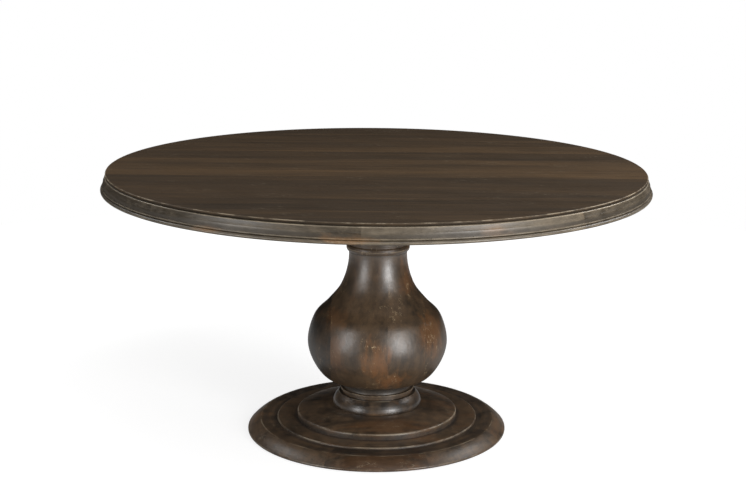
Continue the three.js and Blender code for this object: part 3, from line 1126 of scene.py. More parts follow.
@dataclass
class RimMoulding:
    """The moulded rim of butted segments: groove, arris, hollow slope, fillet, quirk and bead."""

    segments: int = 8
    first_joint: float = -93.0
    joint_gap: float = 0.01
    steps: int = 45
    ledge_width: float = 0.030
    rabbet_radius: float = 0.7256
    groove_radius: float = 0.743
    groove_height: float = 0.003
    arris_radius: float = 0.7485
    slope_height: float = 0.012
    slope_hollow: float = 0.0008
    turn_radius: float = 0.7528
    nose_radius: float = 0.7540
    nose_rise: float = 0.003
    fillet_radius: float = 0.7570
    fillet_height: float = 0.0025
    quirk_radius: float = 0.7535
    quirk_height: float = 0.0025
    bead_height: float = 0.0095
    foot_radius: float = 0.7580
    rounding: float = 0.0007
    fine_rounding: float = 0.0004
    slope_spans: int = 8
    turn_spans: int = 6
    bead_spans: int = 5
    first_seed: int = 20
    # Partly painted shade: the second, seventh and eighth segments, to the right, left and front
    # left, are darkened where less light falls on the rim.
    tones: tuple[float, ...] = (-0.35, -1.3, -0.1, 0.1, -0.2, 0.0, -1.8, -1.1)
    warmths: tuple[float, ...] = (0.5, 0.2, 0.0, 0.3, 0.1, -0.2, -0.3, 0.4)

    def outline(self, widest: float, low: float, ledge: float, top: float) -> list[Corner]:
        """Lays the moulding's section.

        Args:
            widest: Radius of the bead.
            low: Height of the underside.
            ledge: Height of the ledge that carries the boards.
            top: Height of the seat of the boards' lip.

        Returns:
            The corners of the section.
        """
        bead_top = low + self.bead_height
        fillet_top = bead_top + self.quirk_height + self.fillet_height
        arris = Corner(self.arris_radius, top - self.groove_height, self.rounding)
        turn = Corner(self.turn_radius, arris.height - self.slope_height)
        nose = Corner(self.nose_radius, fillet_top + self.nose_rise)
        fillet = Corner(self.fillet_radius, fillet_top, self.fine_rounding)
        fillet_base = Corner(fillet.radius, fillet_top - self.fillet_height, self.fine_rounding)
        quirk = Corner(self.quirk_radius, bead_top)
        bead = Corner(widest, low + self.bead_height / 2)
        foot = Corner(self.foot_radius, low)
        return [
            Corner(self.rabbet_radius, top),
            Corner(self.groove_radius, top),
            arris,
            *bow(arris, turn, -self.slope_hollow, self.slope_spans),
            turn,
            *curve(turn, nose, False, self.turn_spans),
            nose,
            Corner(nose.radius, fillet_top),
            fillet,
            fillet_base,
            quirk,
            *curve(quirk, bead, False, self.bead_spans),
            bead,
            *curve(bead, foot, True, self.bead_spans),
            foot,
            Corner(self.rabbet_radius - self.ledge_width, low, self.rounding),
            Corner(self.rabbet_radius - self.ledge_width, ledge, self.rounding),
            Corner(self.rabbet_radius, ledge),
        ]

    def build(self, finish: WoodFinish) -> None:
        """Turns each segment and dresses it.

        Args:
            finish: Finish of the moulding.
        """
        material = finish.material()
        low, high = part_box("rim_segment_1")
        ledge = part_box("top_board_01")[0].z
        outline = self.outline(CAD_HIGH.x - GLUE_LINE, low.z, ledge, high.z)
        ring = butted(self.segments, self.first_joint, self.joint_gap)
        for number, (start, sweep, grain) in enumerate(ring):
            shape = turned(outline, self.steps, start=start, sweep=sweep)
            seed = self.first_seed + number
            plank = Plank(grain, seed, self.tones[number], self.warmths[number])
            finished(shape, f"rim_segment_{number + 1}", material, Slot.RIM, plank)


@dataclass
class Underframe:
    """Cleats with their screws, and the mounting disc with its lag screws."""

    end_height: float = 0.018
    end_taper: float = 0.060
    cleat_arris: float = 0.002
    cleat_arris_angle: float = 12.0
    recess_radius: float = 0.008
    recess_depth: float = 0.012
    recess_sides: int = 32
    disc_chamfer: float = 0.006
    disc_rounding: float = 0.0008
    disc_steps: int = 128
    screw_sides: int = 24
    screw_head_height: float = 0.0032
    screw_shank_share: float = 0.5
    screw_point_length: float = 0.004
    screw_socket: float = 0.0022
    screw_socket_depth: float = 0.0018
    head_flat_share: float = 0.7
    head_rounding: float = 0.0012
    point_share: float = 0.1
    flange_height: float = 0.0025
    flange_edge_share: float = 0.6
    flange_radius: float = 0.011
    flange_rounding: float = 0.0005
    hex_width: float = 0.014
    hex_rounding: float = 0.0009
    shank_radius: float = 0.005
    lag_point_length: float = 0.006
    arris_segments: int = 2
    screws_in_cleat: int = 4
    lag_screws: int = 4
    cleats: tuple[tuple[str, Plank], ...] = (
        ("cleat_left", Plank(Grain.ALONG_Y.value, 40)),
        ("cleat_right", Plank(Grain.ALONG_Y.value, 41, 0.2)),
    )
    disc_plank: Plank = Plank(Grain.ALONG_X.value, 43, -0.1)

    def bar(self, node: str) -> Shape:
        """Shapes a bar with tapered ends.

        Args:
            node: Name of the cleat's node.

        Returns:
            The bar.
        """
        low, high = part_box(node)
        end = high.z - self.end_height
        side = [
            (low.y, high.z), (low.y, end), (low.y + self.end_taper, low.z),
            (high.y - self.end_taper, low.z), (high.y, end), (high.y, high.z),
        ]
        shape = bmesh.new()
        face = shape.faces.new([shape.verts.new((low.x, y, z)) for y, z in side])
        grown = bmesh.ops.extrude_face_region(shape, geom=[face])
        move_grown(shape, grown, (high.x - low.x, 0, 0))
        bmesh.ops.recalc_face_normals(shape, faces=shape.faces[:])
        ease(shape, self.cleat_arris, self.arris_segments, self.cleat_arris_angle)
        return shape

    def cleat(self, node: str, screws: Sequence[str]) -> Shape:
        """Shapes a cleat with a recess for each of its screws.

        Args:
            node: Name of the cleat's node.
            screws: Names of the nodes of its screws.

        Returns:
            The cleat.
        """
        shape = self.bar(node)
        underside = lowest_face(shape)
        rim = underside.edges[:]
        bmesh.ops.delete(shape, geom=[underside], context="FACES_ONLY")
        holes = []
        for screw in screws:
            middle = centre_of(screw)
            ring = bmesh.ops.create_circle(
                shape, segments=self.recess_sides, radius=self.recess_radius,
                matrix=Matrix.Translation((middle.x, middle.y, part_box(node)[0].z)),
            )["verts"]
            holes.append(edges_at(ring))
        bmesh.ops.triangle_fill(shape, use_beauty=True, edges=sum(holes, rim))
        for hole in holes:
            walls = bmesh.ops.extrude_edge_only(shape, edges=hole)
            move_grown(shape, walls, (0, 0, self.recess_depth))
        close(shape)
        return shape

    def screw(self, node: str) -> Shape:
        """Shapes a round-headed screw with a hexagon socket, its head downwards.

        Args:
            node: Name of the screw's node.

        Returns:
            The screw.
        """
        low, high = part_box(node)
        radius = (high.x - low.x) / 2
        shank = self.screw_shank_share * radius
        shape = turned([
            Corner(self.head_flat_share * radius, low.z),
            Corner(radius, low.z, self.head_rounding),
            Corner(radius, low.z + self.screw_head_height),
            Corner(shank, low.z + self.screw_head_height),
            Corner(shank, high.z - self.screw_point_length),
            Corner(self.point_share * radius, high.z),
        ], self.screw_sides, closed=False)
        inner = bmesh.ops.extrude_discrete_faces(shape, faces=[lowest_face(shape)])["faces"][0]
        for vert in inner.verts:
            angle = math.atan2(vert.co.y, vert.co.x)
            reach = self.screw_socket / math.cos(angle % SIXTH_TURN - SIXTH_TURN / 2)
            vert.co.x = reach * math.cos(angle)
            vert.co.y = reach * math.sin(angle)
        socket = bmesh.ops.extrude_face_region(shape, geom=[inner])
        move_grown(shape, socket, (0, 0, self.screw_socket_depth))
        set_down(shape, node)
        bmesh.ops.recalc_face_normals(shape, faces=shape.faces[:])
        return shape

    def lag_screw(self, node: str) -> Shape:
        """Shapes a hexagon-headed screw with a flange, its head downwards.

        Args:
            node: Name of the screw's node.

        Returns:
            The screw.
        """
        low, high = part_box(node)
        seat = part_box("mounting_disc")[0].z
        flange = seat - self.flange_height
        edge = seat - self.flange_edge_share * self.flange_height
        shape = turned([
            Corner(self.head_flat_share * self.flange_radius, flange),
            Corner(self.flange_radius, edge, self.flange_rounding),
            Corner(self.flange_radius, seat),
            Corner(self.shank_radius, seat),
            Corner(self.shank_radius, high.z - self.lag_point_length),
            Corner(self.point_share * self.shank_radius, high.z),
        ], 2 * self.screw_sides, closed=False)
        head = bmesh.ops.create_circle(
            shape, cap_ends=True, segments=6,
            radius=self.hex_width / 2 / math.cos(SIXTH_TURN / 2),
            matrix=Matrix.Translation((0, 0, flange)),
        )["verts"]
        cap = bmesh.ops.extrude_face_region(shape, geom=head[0].link_faces[:])
        tops = move_grown(shape, cap, (0, 0, low.z - flange))
        bmesh.ops.recalc_face_normals(shape, faces=shape.faces[:])
        tip = [edge for edge in shape.edges if all(vert in tops for vert in edge.verts)]
        round_off(shape, tip, self.hex_rounding, self.arris_segments)
        set_down(shape, node)
        return shape

    def mounting_disc(self) -> Shape:
        """Turns the disc with its chamfer and its bore.

        Returns:
            The disc.
        """
        low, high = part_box("mounting_disc")
        return turned([
            Corner(ROD_BORE, low.z),
            Corner(high.x - self.disc_chamfer, low.z, self.disc_rounding),
            Corner(high.x, low.z + self.disc_chamfer, self.disc_rounding),
            Corner(high.x, high.z),
            Corner(ROD_BORE, high.z),
        ], self.disc_steps)

    def build(self, wood: WoodFinish, steel: PlainFinish) -> None:
        """Shapes and dresses the cleats, the disc and all their screws.

        Args:
            wood: Finish of the cleats and the disc.
            steel: Finish of the screws.
        """
        timber = wood.material()
        metal = steel.material()
        each = self.screws_in_cleat
        screws = [f"cleat_screw_{number + 1}" for number in range(each * len(self.cleats))]
        for number, (node, plank) in enumerate(self.cleats):
            shape = self.cleat(node, screws[number * each:(number + 1) * each])
            finished(shape, node, timber, Slot.UNDERSIDE, plank)
        disc = self.mounting_disc()
        finished(disc, "mounting_disc", timber, Slot.UNDERSIDE, self.disc_plank)
        for node in screws:
            finished(self.screw(node), node, metal, Slot.STEEL, NO_PLANK)
        for number in range(self.lag_screws):
            node = f"mounting_lag_screw_{number + 1}"
            finished(self.lag_screw(node), node, metal, Slot.STEEL, NO_PLANK)


@dataclass
class Column:
    """The capital and the turned column of four upright blocks glued face to face."""

    steps: int = 240
    capital_top_height: float = 0.016
    capital_chamfer: float = 0.004
    capital_neck_inset: float = 0.004
    capital_throat_growth: float = 0.010
    capital_fillet_height: float = 0.009
    groove_height: float = 0.008
    fillet_height: float = 0.006
    cove_height: float = 0.009
    flare_height: float = 0.013
    cove_radius: float = 0.0951
    cove_foot_rise: float = 0.003
    cove_foot_inset: float = 0.002
    fillet_radius: float = 0.1051
    groove_depth: float = 0.005
    bulb_radius: float = 0.199
    neck_height: float = 0.017
    bead_height: float = 0.020
    bead_projection: float = 0.007
    quirk_height: float = 0.005
    quirk_projection: float = 0.0025
    rounding: float = 0.0012
    cove_spans: int = 6
    bulb_spans: int = 9
    bead_spans: int = 5
    throat_spans: int = 10
    first_seed: int = 50
    bulb_shares: tuple[tuple[float, float], ...] = (
        (0.518, 0.0), (0.759, 0.041), (0.937, 0.178), (1.0, 0.336), (0.907, 0.522),
        (0.724, 0.631), (0.559, 0.74), (0.476, 0.836), (0.43, 0.932), (0.415, 1.0),
    )
    # The left bulb block is darker partly as painted shade on the bulb's left side, beyond the
    # blocks' own tones.
    blocks: tuple[tuple[str, float, float], ...] = (
        ("bulb_side_left", -1.2, -0.8),
        ("column_core_left", 0.3, 0.35),
        ("column_core_right", 0.35, -0.2),
        ("bulb_side_right", -0.35, 0.6),
    )
    capital_plank: Plank = Plank(Grain.ALONG_X.value, 57, -0.2)

    def outline(self, low: float, high: float) -> list[Corner]:
        """Lays the column's section from its bore out and back.

        Args:
            low: Height of its foot.
            high: Height of its top.

        Returns:
            The corners of the section.
        """
        groove_top = low + self.groove_height
        fillet_top = groove_top + self.fillet_height
        cove_top = fillet_top + self.cove_height
        bulb_base = cove_top + self.flare_height
        bulb_top = high - self.quirk_height - self.bead_height - self.neck_height
        shape = [
            Corner(radius * self.bulb_radius, bulb_base + height * (bulb_top - bulb_base))
            for radius, height in self.bulb_shares
        ]
        neck = shape[-1]
        bead_base = Corner(neck.radius, bulb_top + self.neck_height)
        bead_top = bead_base.height + self.bead_height
        bead = Corner(neck.radius + self.bead_projection, bead_base.height + self.bead_height / 2)
        quirk = Corner(neck.radius + self.quirk_projection, bead_top)
        cove_foot = Corner(self.cove_radius, fillet_top + self.cove_foot_rise)
        groove = self.fillet_radius - self.groove_depth
        return [
            Corner(ROD_BORE, low),
            Corner(groove, low),
            Corner(groove, groove_top),
            Corner(self.fillet_radius, groove_top, self.rounding),
            Corner(self.fillet_radius, fillet_top, self.rounding),
            Corner(self.cove_radius + self.cove_foot_inset, fillet_top),
            cove_foot,
            *curve(cove_foot, shape[0], True, self.cove_spans),
            *smooth_line([*shape, bead_base], self.bulb_spans),
            *curve(bead_base, bead, False, self.bead_spans),
            bead,
            *curve(bead, quirk, True, self.bead_spans),
            quirk,
            Corner(quirk.radius, high),
            Corner(ROD_BORE, high),
        ]

    def capital(self) -> Shape:
        """Turns the capital: a fillet, a throat and a hollow flare under a chamfered top.

        Returns:
            The capital.
        """
        low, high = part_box("capital")
        fillet = self.bulb_radius * self.bulb_shares[-1][0] + self.bead_projection
        fillet_top = low.z + self.capital_fillet_height
        flare_top = high.z - self.capital_top_height
        throat = Corner(fillet + self.capital_throat_growth, (fillet_top + flare_top) / 2)
        flare = Corner(high.x - self.capital_chamfer, flare_top)
        return turned([
            Corner(ROD_BORE, low.z),
            Corner(fillet, low.z, self.rounding),
            Corner(fillet, fillet_top, self.rounding),
            Corner(fillet - self.capital_neck_inset, fillet_top),
            throat,
            *curve(throat, flare, True, self.throat_spans),
            flare,
            Corner(high.x, flare_top + self.capital_chamfer, self.rounding),
            Corner(high.x, high.z),
            Corner(ROD_BORE, high.z),
        ], self.steps)

    def build(self, finish: WoodFinish) -> None:
        """Turns the column, cuts it into its blocks and dresses them with the capital.

        Args:
            finish: Finish of the column.
        """
        material = finish.material()
        low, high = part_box("column_core_left")
        whole = turned(self.outline(low.z, high.z), self.steps)
        parts = slices(whole, [block[0] for block in self.blocks], Vector(Grain.ALONG_X.value))
        for number, (node, block) in enumerate(parts):
            tone, warmth = self.blocks[number][1:]
            plank = Plank(Grain.UPRIGHT.value, self.first_seed + number, tone, warmth)
            finished(block, node, material, Slot.COLUMN, plank)
        finished(self.capital(), "capital", material, Slot.COLUMN, self.capital_plank)


@dataclass
class Foot:
    """The foot ring, the two discs and the base ring of butted segments."""

    steps: int = 240
    foot_inset: float = 0.002
    ring_top_radius: float = 0.1101
    nose_share: float = 0.20
    ring_shares: tuple[tuple[float, float], ...] = ((0.90, 0.40), (0.65, 0.64), (0.32, 0.84))
    edge_rounding: float = 0.0045
    upper_edge_height: float = 0.016
    dome_crown: float = 0.003
    dome_foot_radius: float = 0.127
    plug_radius: float = 0.2367
    recess_radius: float = 0.030
    recess_height: float = 0.016
    plug_depth: float = 0.022
    plug_rounding: float = 0.001
    segments: int = 8
    first_joint: float = -112.5
    segment_steps: int = 36
    joint_gap: float = 0.02
    inner_radius: float = 0.237
    bevel_width: float = 0.037
    bevel_crown: float = 0.0035
    ring_edge_height: float = 0.0055
    ring_edge_rounding: float = 0.0015
    ring_foot_rounding: float = 0.002
    nose_spans: int = 8
    back_spans: int = 6
    crown_spans: int = 8
    foot_ring_plank: Plank = Plank(Grain.ALONG_X.value, 60, -0.8)
    upper_disc_plank: Plank = Plank(Grain.ALONG_X.value, 61, 0.25, 0.4)
    middle_disc_plank: Plank = Plank(Grain.ALONG_X.value, 62, 0.4, 0.2)
    first_seed: int = 70
    # Partly painted light and shade: the first segment, at the front, is darkened and the seventh,
    # on the left, paled to stand in for how light falls on the bevel.
    tones: tuple[float, ...] = (-1.8, -0.5, -0.1, -0.4, -0.1, -0.3, 0.6, 0.1)
    warmths: tuple[float, ...] = (0.6, 0.0, 0.4, 0.1, 0.5, -0.2, 0.3, -0.1)

    def foot_ring(self) -> Shape:
        """Turns the half-round ring under the column.

        Returns:
            The ring.
        """
        low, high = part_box("foot_ring")
        foot = Corner(high.x - self.foot_inset, low.z)
        nose = Corner(high.x, low.z + (high.z - low.z) * self.nose_share)
        top = Corner(self.ring_top_radius, high.z)
        back = [
            Corner(top.radius + (high.x - top.radius) * width, low.z + (high.z - low.z) * height)
            for width, height in self.ring_shares
        ]
        return turned([
            Corner(ROD_BORE, low.z),
            foot,
            *curve(foot, nose, False, self.nose_spans),
            *smooth_line([nose, *back, top], self.back_spans),
            Corner(ROD_BORE, high.z),
        ], self.steps)

    def upper_disc(self) -> Shape:
        """Turns the slightly domed disc.

        Returns:
            The disc.
        """
        low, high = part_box("upper_disc")
        edge = Corner(high.x, low.z + self.upper_edge_height, self.edge_rounding)
        foot = Corner(self.dome_foot_radius, high.z)
        return turned([
            Corner(ROD_BORE, low.z),
            Corner(high.x, low.z),
            edge,
            *bow(edge, foot, self.dome_crown, self.crown_spans),
            foot,
            Corner(ROD_BORE, high.z),
        ], self.steps)

    def middle_disc(self) -> Shape:
        """Turns the disc with the plug under it and the recess for the lower nut.

        Returns:
            The disc.
        """
        low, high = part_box("middle_disc")
        seat = low.z + self.plug_depth
        recess_top = low.z + self.recess_height
        return turned([
            Corner(self.recess_radius, low.z, self.plug_rounding),
            Corner(self.plug_radius, low.z, self.plug_rounding),
            Corner(self.plug_radius, seat),
            Corner(high.x, seat),
            Corner(high.x, high.z, self.edge_rounding),
            Corner(ROD_BORE, high.z),
            Corner(ROD_BORE, recess_top),
            Corner(self.recess_radius, recess_top),
        ], self.steps)

    def ring_outline(self) -> list[Corner]:
        """Lays the section of the base ring.

        Returns:
            The corners of the section.
        """
        low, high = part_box("base_ring_segment_1")
        radius = -low.y
        ridge = Corner(radius - self.bevel_width, high.z, self.ring_edge_rounding)
        edge = Corner(radius, low.z + self.ring_edge_height, self.ring_edge_rounding)
        return [
            Corner(self.inner_radius, low.z),
            Corner(radius, low.z, self.ring_foot_rounding),
            edge,
            *bow(edge, ridge, self.bevel_crown, self.crown_spans),
            ridge,
            Corner(self.inner_radius, high.z),
        ]

    def build(self, finish: WoodFinish) -> None:
        """Turns and dresses all pieces of the foot.

        Args:
            finish: Finish of the foot.
        """
        material = finish.material()
        for shape, node, plank in (
            (self.foot_ring(), "foot_ring", self.foot_ring_plank),
            (self.upper_disc(), "upper_disc", self.upper_disc_plank),
            (self.middle_disc(), "middle_disc", self.middle_disc_plank),
        ):
            finished(shape, node, material, Slot.BASE, plank)
        outline = self.ring_outline()
        ring = butted(self.segments, self.first_joint, self.joint_gap)
        for number, (start, sweep, grain) in enumerate(ring):
            shape = turned(outline, self.segment_steps, start=start, sweep=sweep)
            seed = self.first_seed + number
            plank = Plank(grain, seed, self.tones[number], self.warmths[number])
            finished(shape, f"base_ring_segment_{number + 1}", material, Slot.BASE, plank)


@dataclass
class TieRod:
    """The threaded rod with a washer and a nut at each end."""

    thread_pitch: float = 0.002
    thread_depth: float = 0.0011
    thread_length: float = 0.024
    sides: int = 32
    washer_rounding: float = 0.0006
    nut_chamfer: float = 0.0012
    nut_slope: float = 0.5
    nut_cuts: int = 3

    def rod(self) -> Shape:
        """Turns the rod with the ridges of a thread at both ends.

        Returns:
            The rod.
        """
        low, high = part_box("tie_rod")
        root = high.x - self.thread_depth
        lower = []
        upper = []
        for turn in range(round(self.thread_length / self.thread_pitch)):
            for radius, along in ((root, turn), (high.x, turn + 0.5)):
                lower.append(Corner(radius, low.z + along * self.thread_pitch))
                upper.append(Corner(radius, high.z - along * self.thread_pitch))
        return turned(lower + upper[::-1], self.sides, closed=False)

    def washer(self, node: str, bore: float) -> Shape:
        """Turns a flat washer.

        Args:
            node: Name of the washer's node.
            bore: Radius of its bore.

        Returns:
            The washer.
        """
        low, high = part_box(node)
        return turned([
            Corner(bore, low.z),
            Corner(high.x, low.z, self.washer_rounding),
            Corner(high.x, high.z, self.washer_rounding),
            Corner(bore, high.z),
        ], 2 * self.sides)

    def nut(self, node: str, bore: float) -> Shape:
        """Shapes a hexagon nut from a hexagon and a circle that are bridged.

        Args:
            node: Name of the nut's node.
            bore: Radius of its bore.

        Returns:
            The nut.
        """
        low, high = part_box(node)
        corner = (high.x - low.x) / 2
        shape = bmesh.new()
        outer = bmesh.ops.create_circle(shape, segments=6, radius=corner)["verts"]
        about_z = Matrix.Rotation(SIXTH_TURN / 2, 3, "Z")
        bmesh.ops.rotate(shape, verts=outer, cent=(0, 0, 0), matrix=about_z)
        bmesh.ops.subdivide_edges(shape, edges=edges_at(outer), cuts=self.nut_cuts)
        rim = shape.edges[:]
        inner = bmesh.ops.create_circle(
            shape, segments=6 * (self.nut_cuts + 1), radius=bore
        )["verts"]
        bmesh.ops.bridge_loops(shape, edges=rim + edges_at(inner))
        bmesh.ops.translate(shape, verts=shape.verts[:], vec=(0, 0, low.z))
        grown = bmesh.ops.extrude_face_region(shape, geom=shape.faces[:])
        move_grown(shape, grown, (0, 0, high.z - low.z))
        bmesh.ops.recalc_face_normals(shape, faces=shape.faces[:])
        middle = (low.z + high.z) / 2
        for vert in shape.verts:
            past = math.hypot(vert.co.x, vert.co.y) - (corner - self.nut_chamfer)
            if past > 0:
                vert.co.z += math.copysign(self.nut_slope * past, middle - vert.co.z)
        return shape

    def build(self, steel: PlainFinish) -> None:
        """Shapes and dresses the rod, the washers and the nuts.

        Args:
            steel: Their finish.
        """
        metal = steel.material()
        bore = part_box("tie_rod")[1].x + GLUE_LINE
        finished(self.rod(), "tie_rod", metal, Slot.STEEL, NO_PLANK)
        for end in ("lower", "upper"):
            for kind, shaped in (("washer", self.washer), ("nut", self.nut)):
                node = f"{end}_{kind}"
                finished(shaped(node, bore), node, metal, Slot.STEEL, NO_PLANK)


@dataclass
class Glides:
    """The nail-on pads under the base ring."""

    count: int = 4
    sides: int = 48
    nail_radius: float = 0.0012
    pad_height: float = 0.002
    rounding: float = 0.0007
    flat_share: float = 0.8
    point_length: float = 0.002
    point_share: float = 0.2

    def glide(self, node: str) -> Shape:
        """Turns a pad with its nail and sets it in its place.

        Args:
            node: Name of the glide's node.

        Returns:
            The glide.
        """
        low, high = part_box(node)
        radius = (high.x - low.x) / 2
        shape = turned([
            Corner(self.flat_share * radius, low.z),
            Corner(radius, low.z, self.rounding),
            Corner(radius, low.z + self.pad_height),
            Corner(self.nail_radius, low.z + self.pad_height),
            Corner(self.nail_radius, high.z - self.point_length),
            Corner(self.point_share * self.nail_radius, high.z),
        ], self.sides, closed=False)
        set_down(shape, node)
        return shape

    def build(self, nylon: PlainFinish) -> None:
        """Turns and dresses all glides.

        Args:
            nylon: Their finish.
        """
        material = nylon.material()
        for number in range(self.count):
            node = f"glide_{number + 1}"
            finished(self.glide(node), node, material, Slot.GLIDE, NO_PLANK)


@dataclass(frozen=True)
class SoftBox:
    """An oval lamp behind a diffuser.

    Args:
        name: Name of the lamp.
        place: Its middle.
        aim: The point that it faces.
        size: Its width and height.
        radiance: How bright its face is, where 1 is white.
    """

    name: str
    place: Place
    aim: Place
    size: tuple[float, float]
    radiance: float

    def build(self) -> None:
        """Hangs the lamp."""
        lamp = bpy.data.lights.new(self.name, "AREA")
        lamp.shape = "ELLIPSE"
        lamp.size, lamp.size_y = self.size
        face = math.pi / 4 * self.size[0] * self.size[1]
        lamp.energy = math.pi * face * self.radiance
        holder = linked(self.name, lamp)
        holder.location = self.place
        facing = Vector(self.aim) - Vector(self.place)
        holder.rotation_euler = facing.to_track_quat("-Z", "Y").to_euler()
        holder.visible_camera = False


@dataclass
class Studio:
    """A floor that glows where it is seen, a dark curtain out of sight, lamps and the camera."""

    floor_radius: float = 3.2
    floor_sides: int = 128
    floor_colour: Colour = (0.36, 0.36, 0.36)
    floor_roughness: float = 0.9
    floor_gloss: float = 0.1
    near_glow: tuple[float, float] = (1.0, 0.78)
    far_glow: tuple[float, float] = (2.2, 1.0)
    glow_in_gloss: float = 0.35
    curtain_radius: float = 7.0
    curtain_sides: int = 96
    curtain_foot: float = -1.6
    curtain_top: float = 7.0
    curtain_colour: Colour = (0.03, 0.03, 0.03)
    sky_level: float = 0.28
    camera_distance: float = 4.1389
    camera_height: float = 1.4871
    camera_pitch: float = 12.988
    camera_yaw: float = 2.4256
    camera_roll: float = 0.9610
    camera_reach: float = 100.0
    focal_pixels: float = 1501.1
    frame_width_pixels: float = 746.0
    axis_offset_pixels: float = 67.1
    sensor_width: float = 36.0
    lamps: tuple[SoftBox, ...] = field(default_factory=lambda: (
        SoftBox("softbox_right", (2.30, -3.00, 1.15), (0.0, 0.0, 0.50), (1.4, 2.2), 18.0),
        SoftBox("softbox_left", (-2.95, -2.38, 1.15), (0.0, 0.0, 0.50), (1.2, 2.2), 9.6),
        SoftBox("softbox_back_right", (2.05, 0.45, 2.10), (0.0, 0.0, 0.50), (1.1, 1.2), 11.0),
        SoftBox("softbox_back_left", (-2.00, 0.50, 1.95), (0.0, 0.0, 0.50), (0.8, 0.9), 6.5),
        SoftBox("softbox_overhead", (0.5, -1.9, 3.2), (0.2, -0.3, 0.6), (2.6, 1.8), 2.4),
    ))

    def build_world(self) -> None:
        """Sets a background that is white where it is seen, and soft light else."""
        world = bpy.data.worlds.new("studio")
        world.use_nodes = True
        bpy.context.scene.world = world
        bench = NodeBench(world.node_tree)
        strength = bench.lay("ShaderNodeMapRange")
        bench.fed(strength, bench.seen(1.0), 0.0, 1.0, self.sky_level, 1.0)
        background = bench.lay("ShaderNodeBackground")
        bench.fed(background, WHITE, strength.outputs["Result"])
        output = bench.lay("ShaderNodeOutputWorld")
        bench.join(background.outputs["Background"], output.inputs["Surface"])

    def set_up(self, name: str, shape: Shape, material: bpy.types.Material, in_sight: bool) -> None:
        """Puts a surface of the set in its place.

        Args:
            name: Its name.
            shape: Its shape, which is freed.
            material: Its paint or cloth.
            in_sight: False hides it from the camera.
        """
        mesh = mesh_of(shape, name)
        mesh.materials.append(material)
        surface = linked(name, mesh)
        surface.visible_camera = in_sight

    def build_floor(self) -> None:
        """Lays a grey floor, which keeps the shadow and glows to white away from the table."""
        shape = bmesh.new()
        bmesh.ops.create_circle(
            shape, cap_ends=True, segments=self.floor_sides, radius=self.floor_radius
        )
        bench = PaintBench("floor_paint")
        (near, low), (far, high) = self.near_glow, self.far_glow
        glow = bench.span(bench.away(bench.place(), (0.0, 0.0, 0.0)), near, far, low, high)
        bench.dress({
            "Base Color": (*self.floor_colour, 1.0),
            "Roughness": self.floor_roughness,
            "Specular IOR Level": self.floor_gloss,
            "Emission Color": WHITE,
            "Emission Strength": bench.sum("MULTIPLY", bench.seen(self.glow_in_gloss), glow),
        })
        self.set_up("floor", shape, bench.material, in_sight=True)

    def build_curtain(self) -> None:
        """Hangs a dark curtain round the set, so that the top mirrors nothing bright."""
        shape = bmesh.new()
        middle = (self.curtain_top + self.curtain_foot) / 2
        bmesh.ops.create_cone(
            shape, cap_ends=False, segments=self.curtain_sides,
            radius1=self.curtain_radius, radius2=self.curtain_radius,
            depth=self.curtain_top - self.curtain_foot,
            matrix=Matrix.Translation((0, 0, middle)),
        )
        bench = PaintBench("dark_cloth")
        bench.dress({
            "Base Color": (*self.curtain_colour, 1.0),
            "Roughness": 1.0,
            "Specular IOR Level": 0.0,
        })
        self.set_up("curtain", shape, bench.material, in_sight=False)

    def build_camera(self) -> None:
        """Sets the camera where the photograph was taken from."""
        pitch, yaw, roll = (
            math.radians(value) for value in (self.camera_pitch, self.camera_yaw, self.camera_roll)
        )
        forward = Vector((
            math.sin(yaw) * math.cos(pitch), math.cos(yaw) * math.cos(pitch), -math.sin(pitch)
        ))
        right = Vector((math.cos(yaw), -math.sin(yaw), 0.0))
        up = right.cross(forward)
        rolled_right = math.cos(roll) * right + math.sin(roll) * up
        rolled_up = math.cos(roll) * up - math.sin(roll) * right
        lens = bpy.data.cameras.new("camera")
        lens.sensor_width = self.sensor_width
        lens.lens = self.focal_pixels / self.frame_width_pixels * self.sensor_width
        lens.shift_x = -self.axis_offset_pixels / self.frame_width_pixels
        lens.clip_end = self.camera_reach
        camera = linked("camera", lens)
        turn = Matrix((rolled_right, rolled_up, -forward)).transposed().to_4x4()
        place = Matrix.Translation((0.0, -self.camera_distance, self.camera_height))
        camera.matrix_world = place @ turn
        bpy.context.scene.camera = camera

    def build(self) -> None:
        """Sets up everything that isn't part of the table."""
        self.build_world()
        self.build_floor()
        self.build_curtain()
        for lamp in self.lamps:
            lamp.build()
        self.build_camera()
        bpy.context.scene.view_settings.view_transform = "Standard"


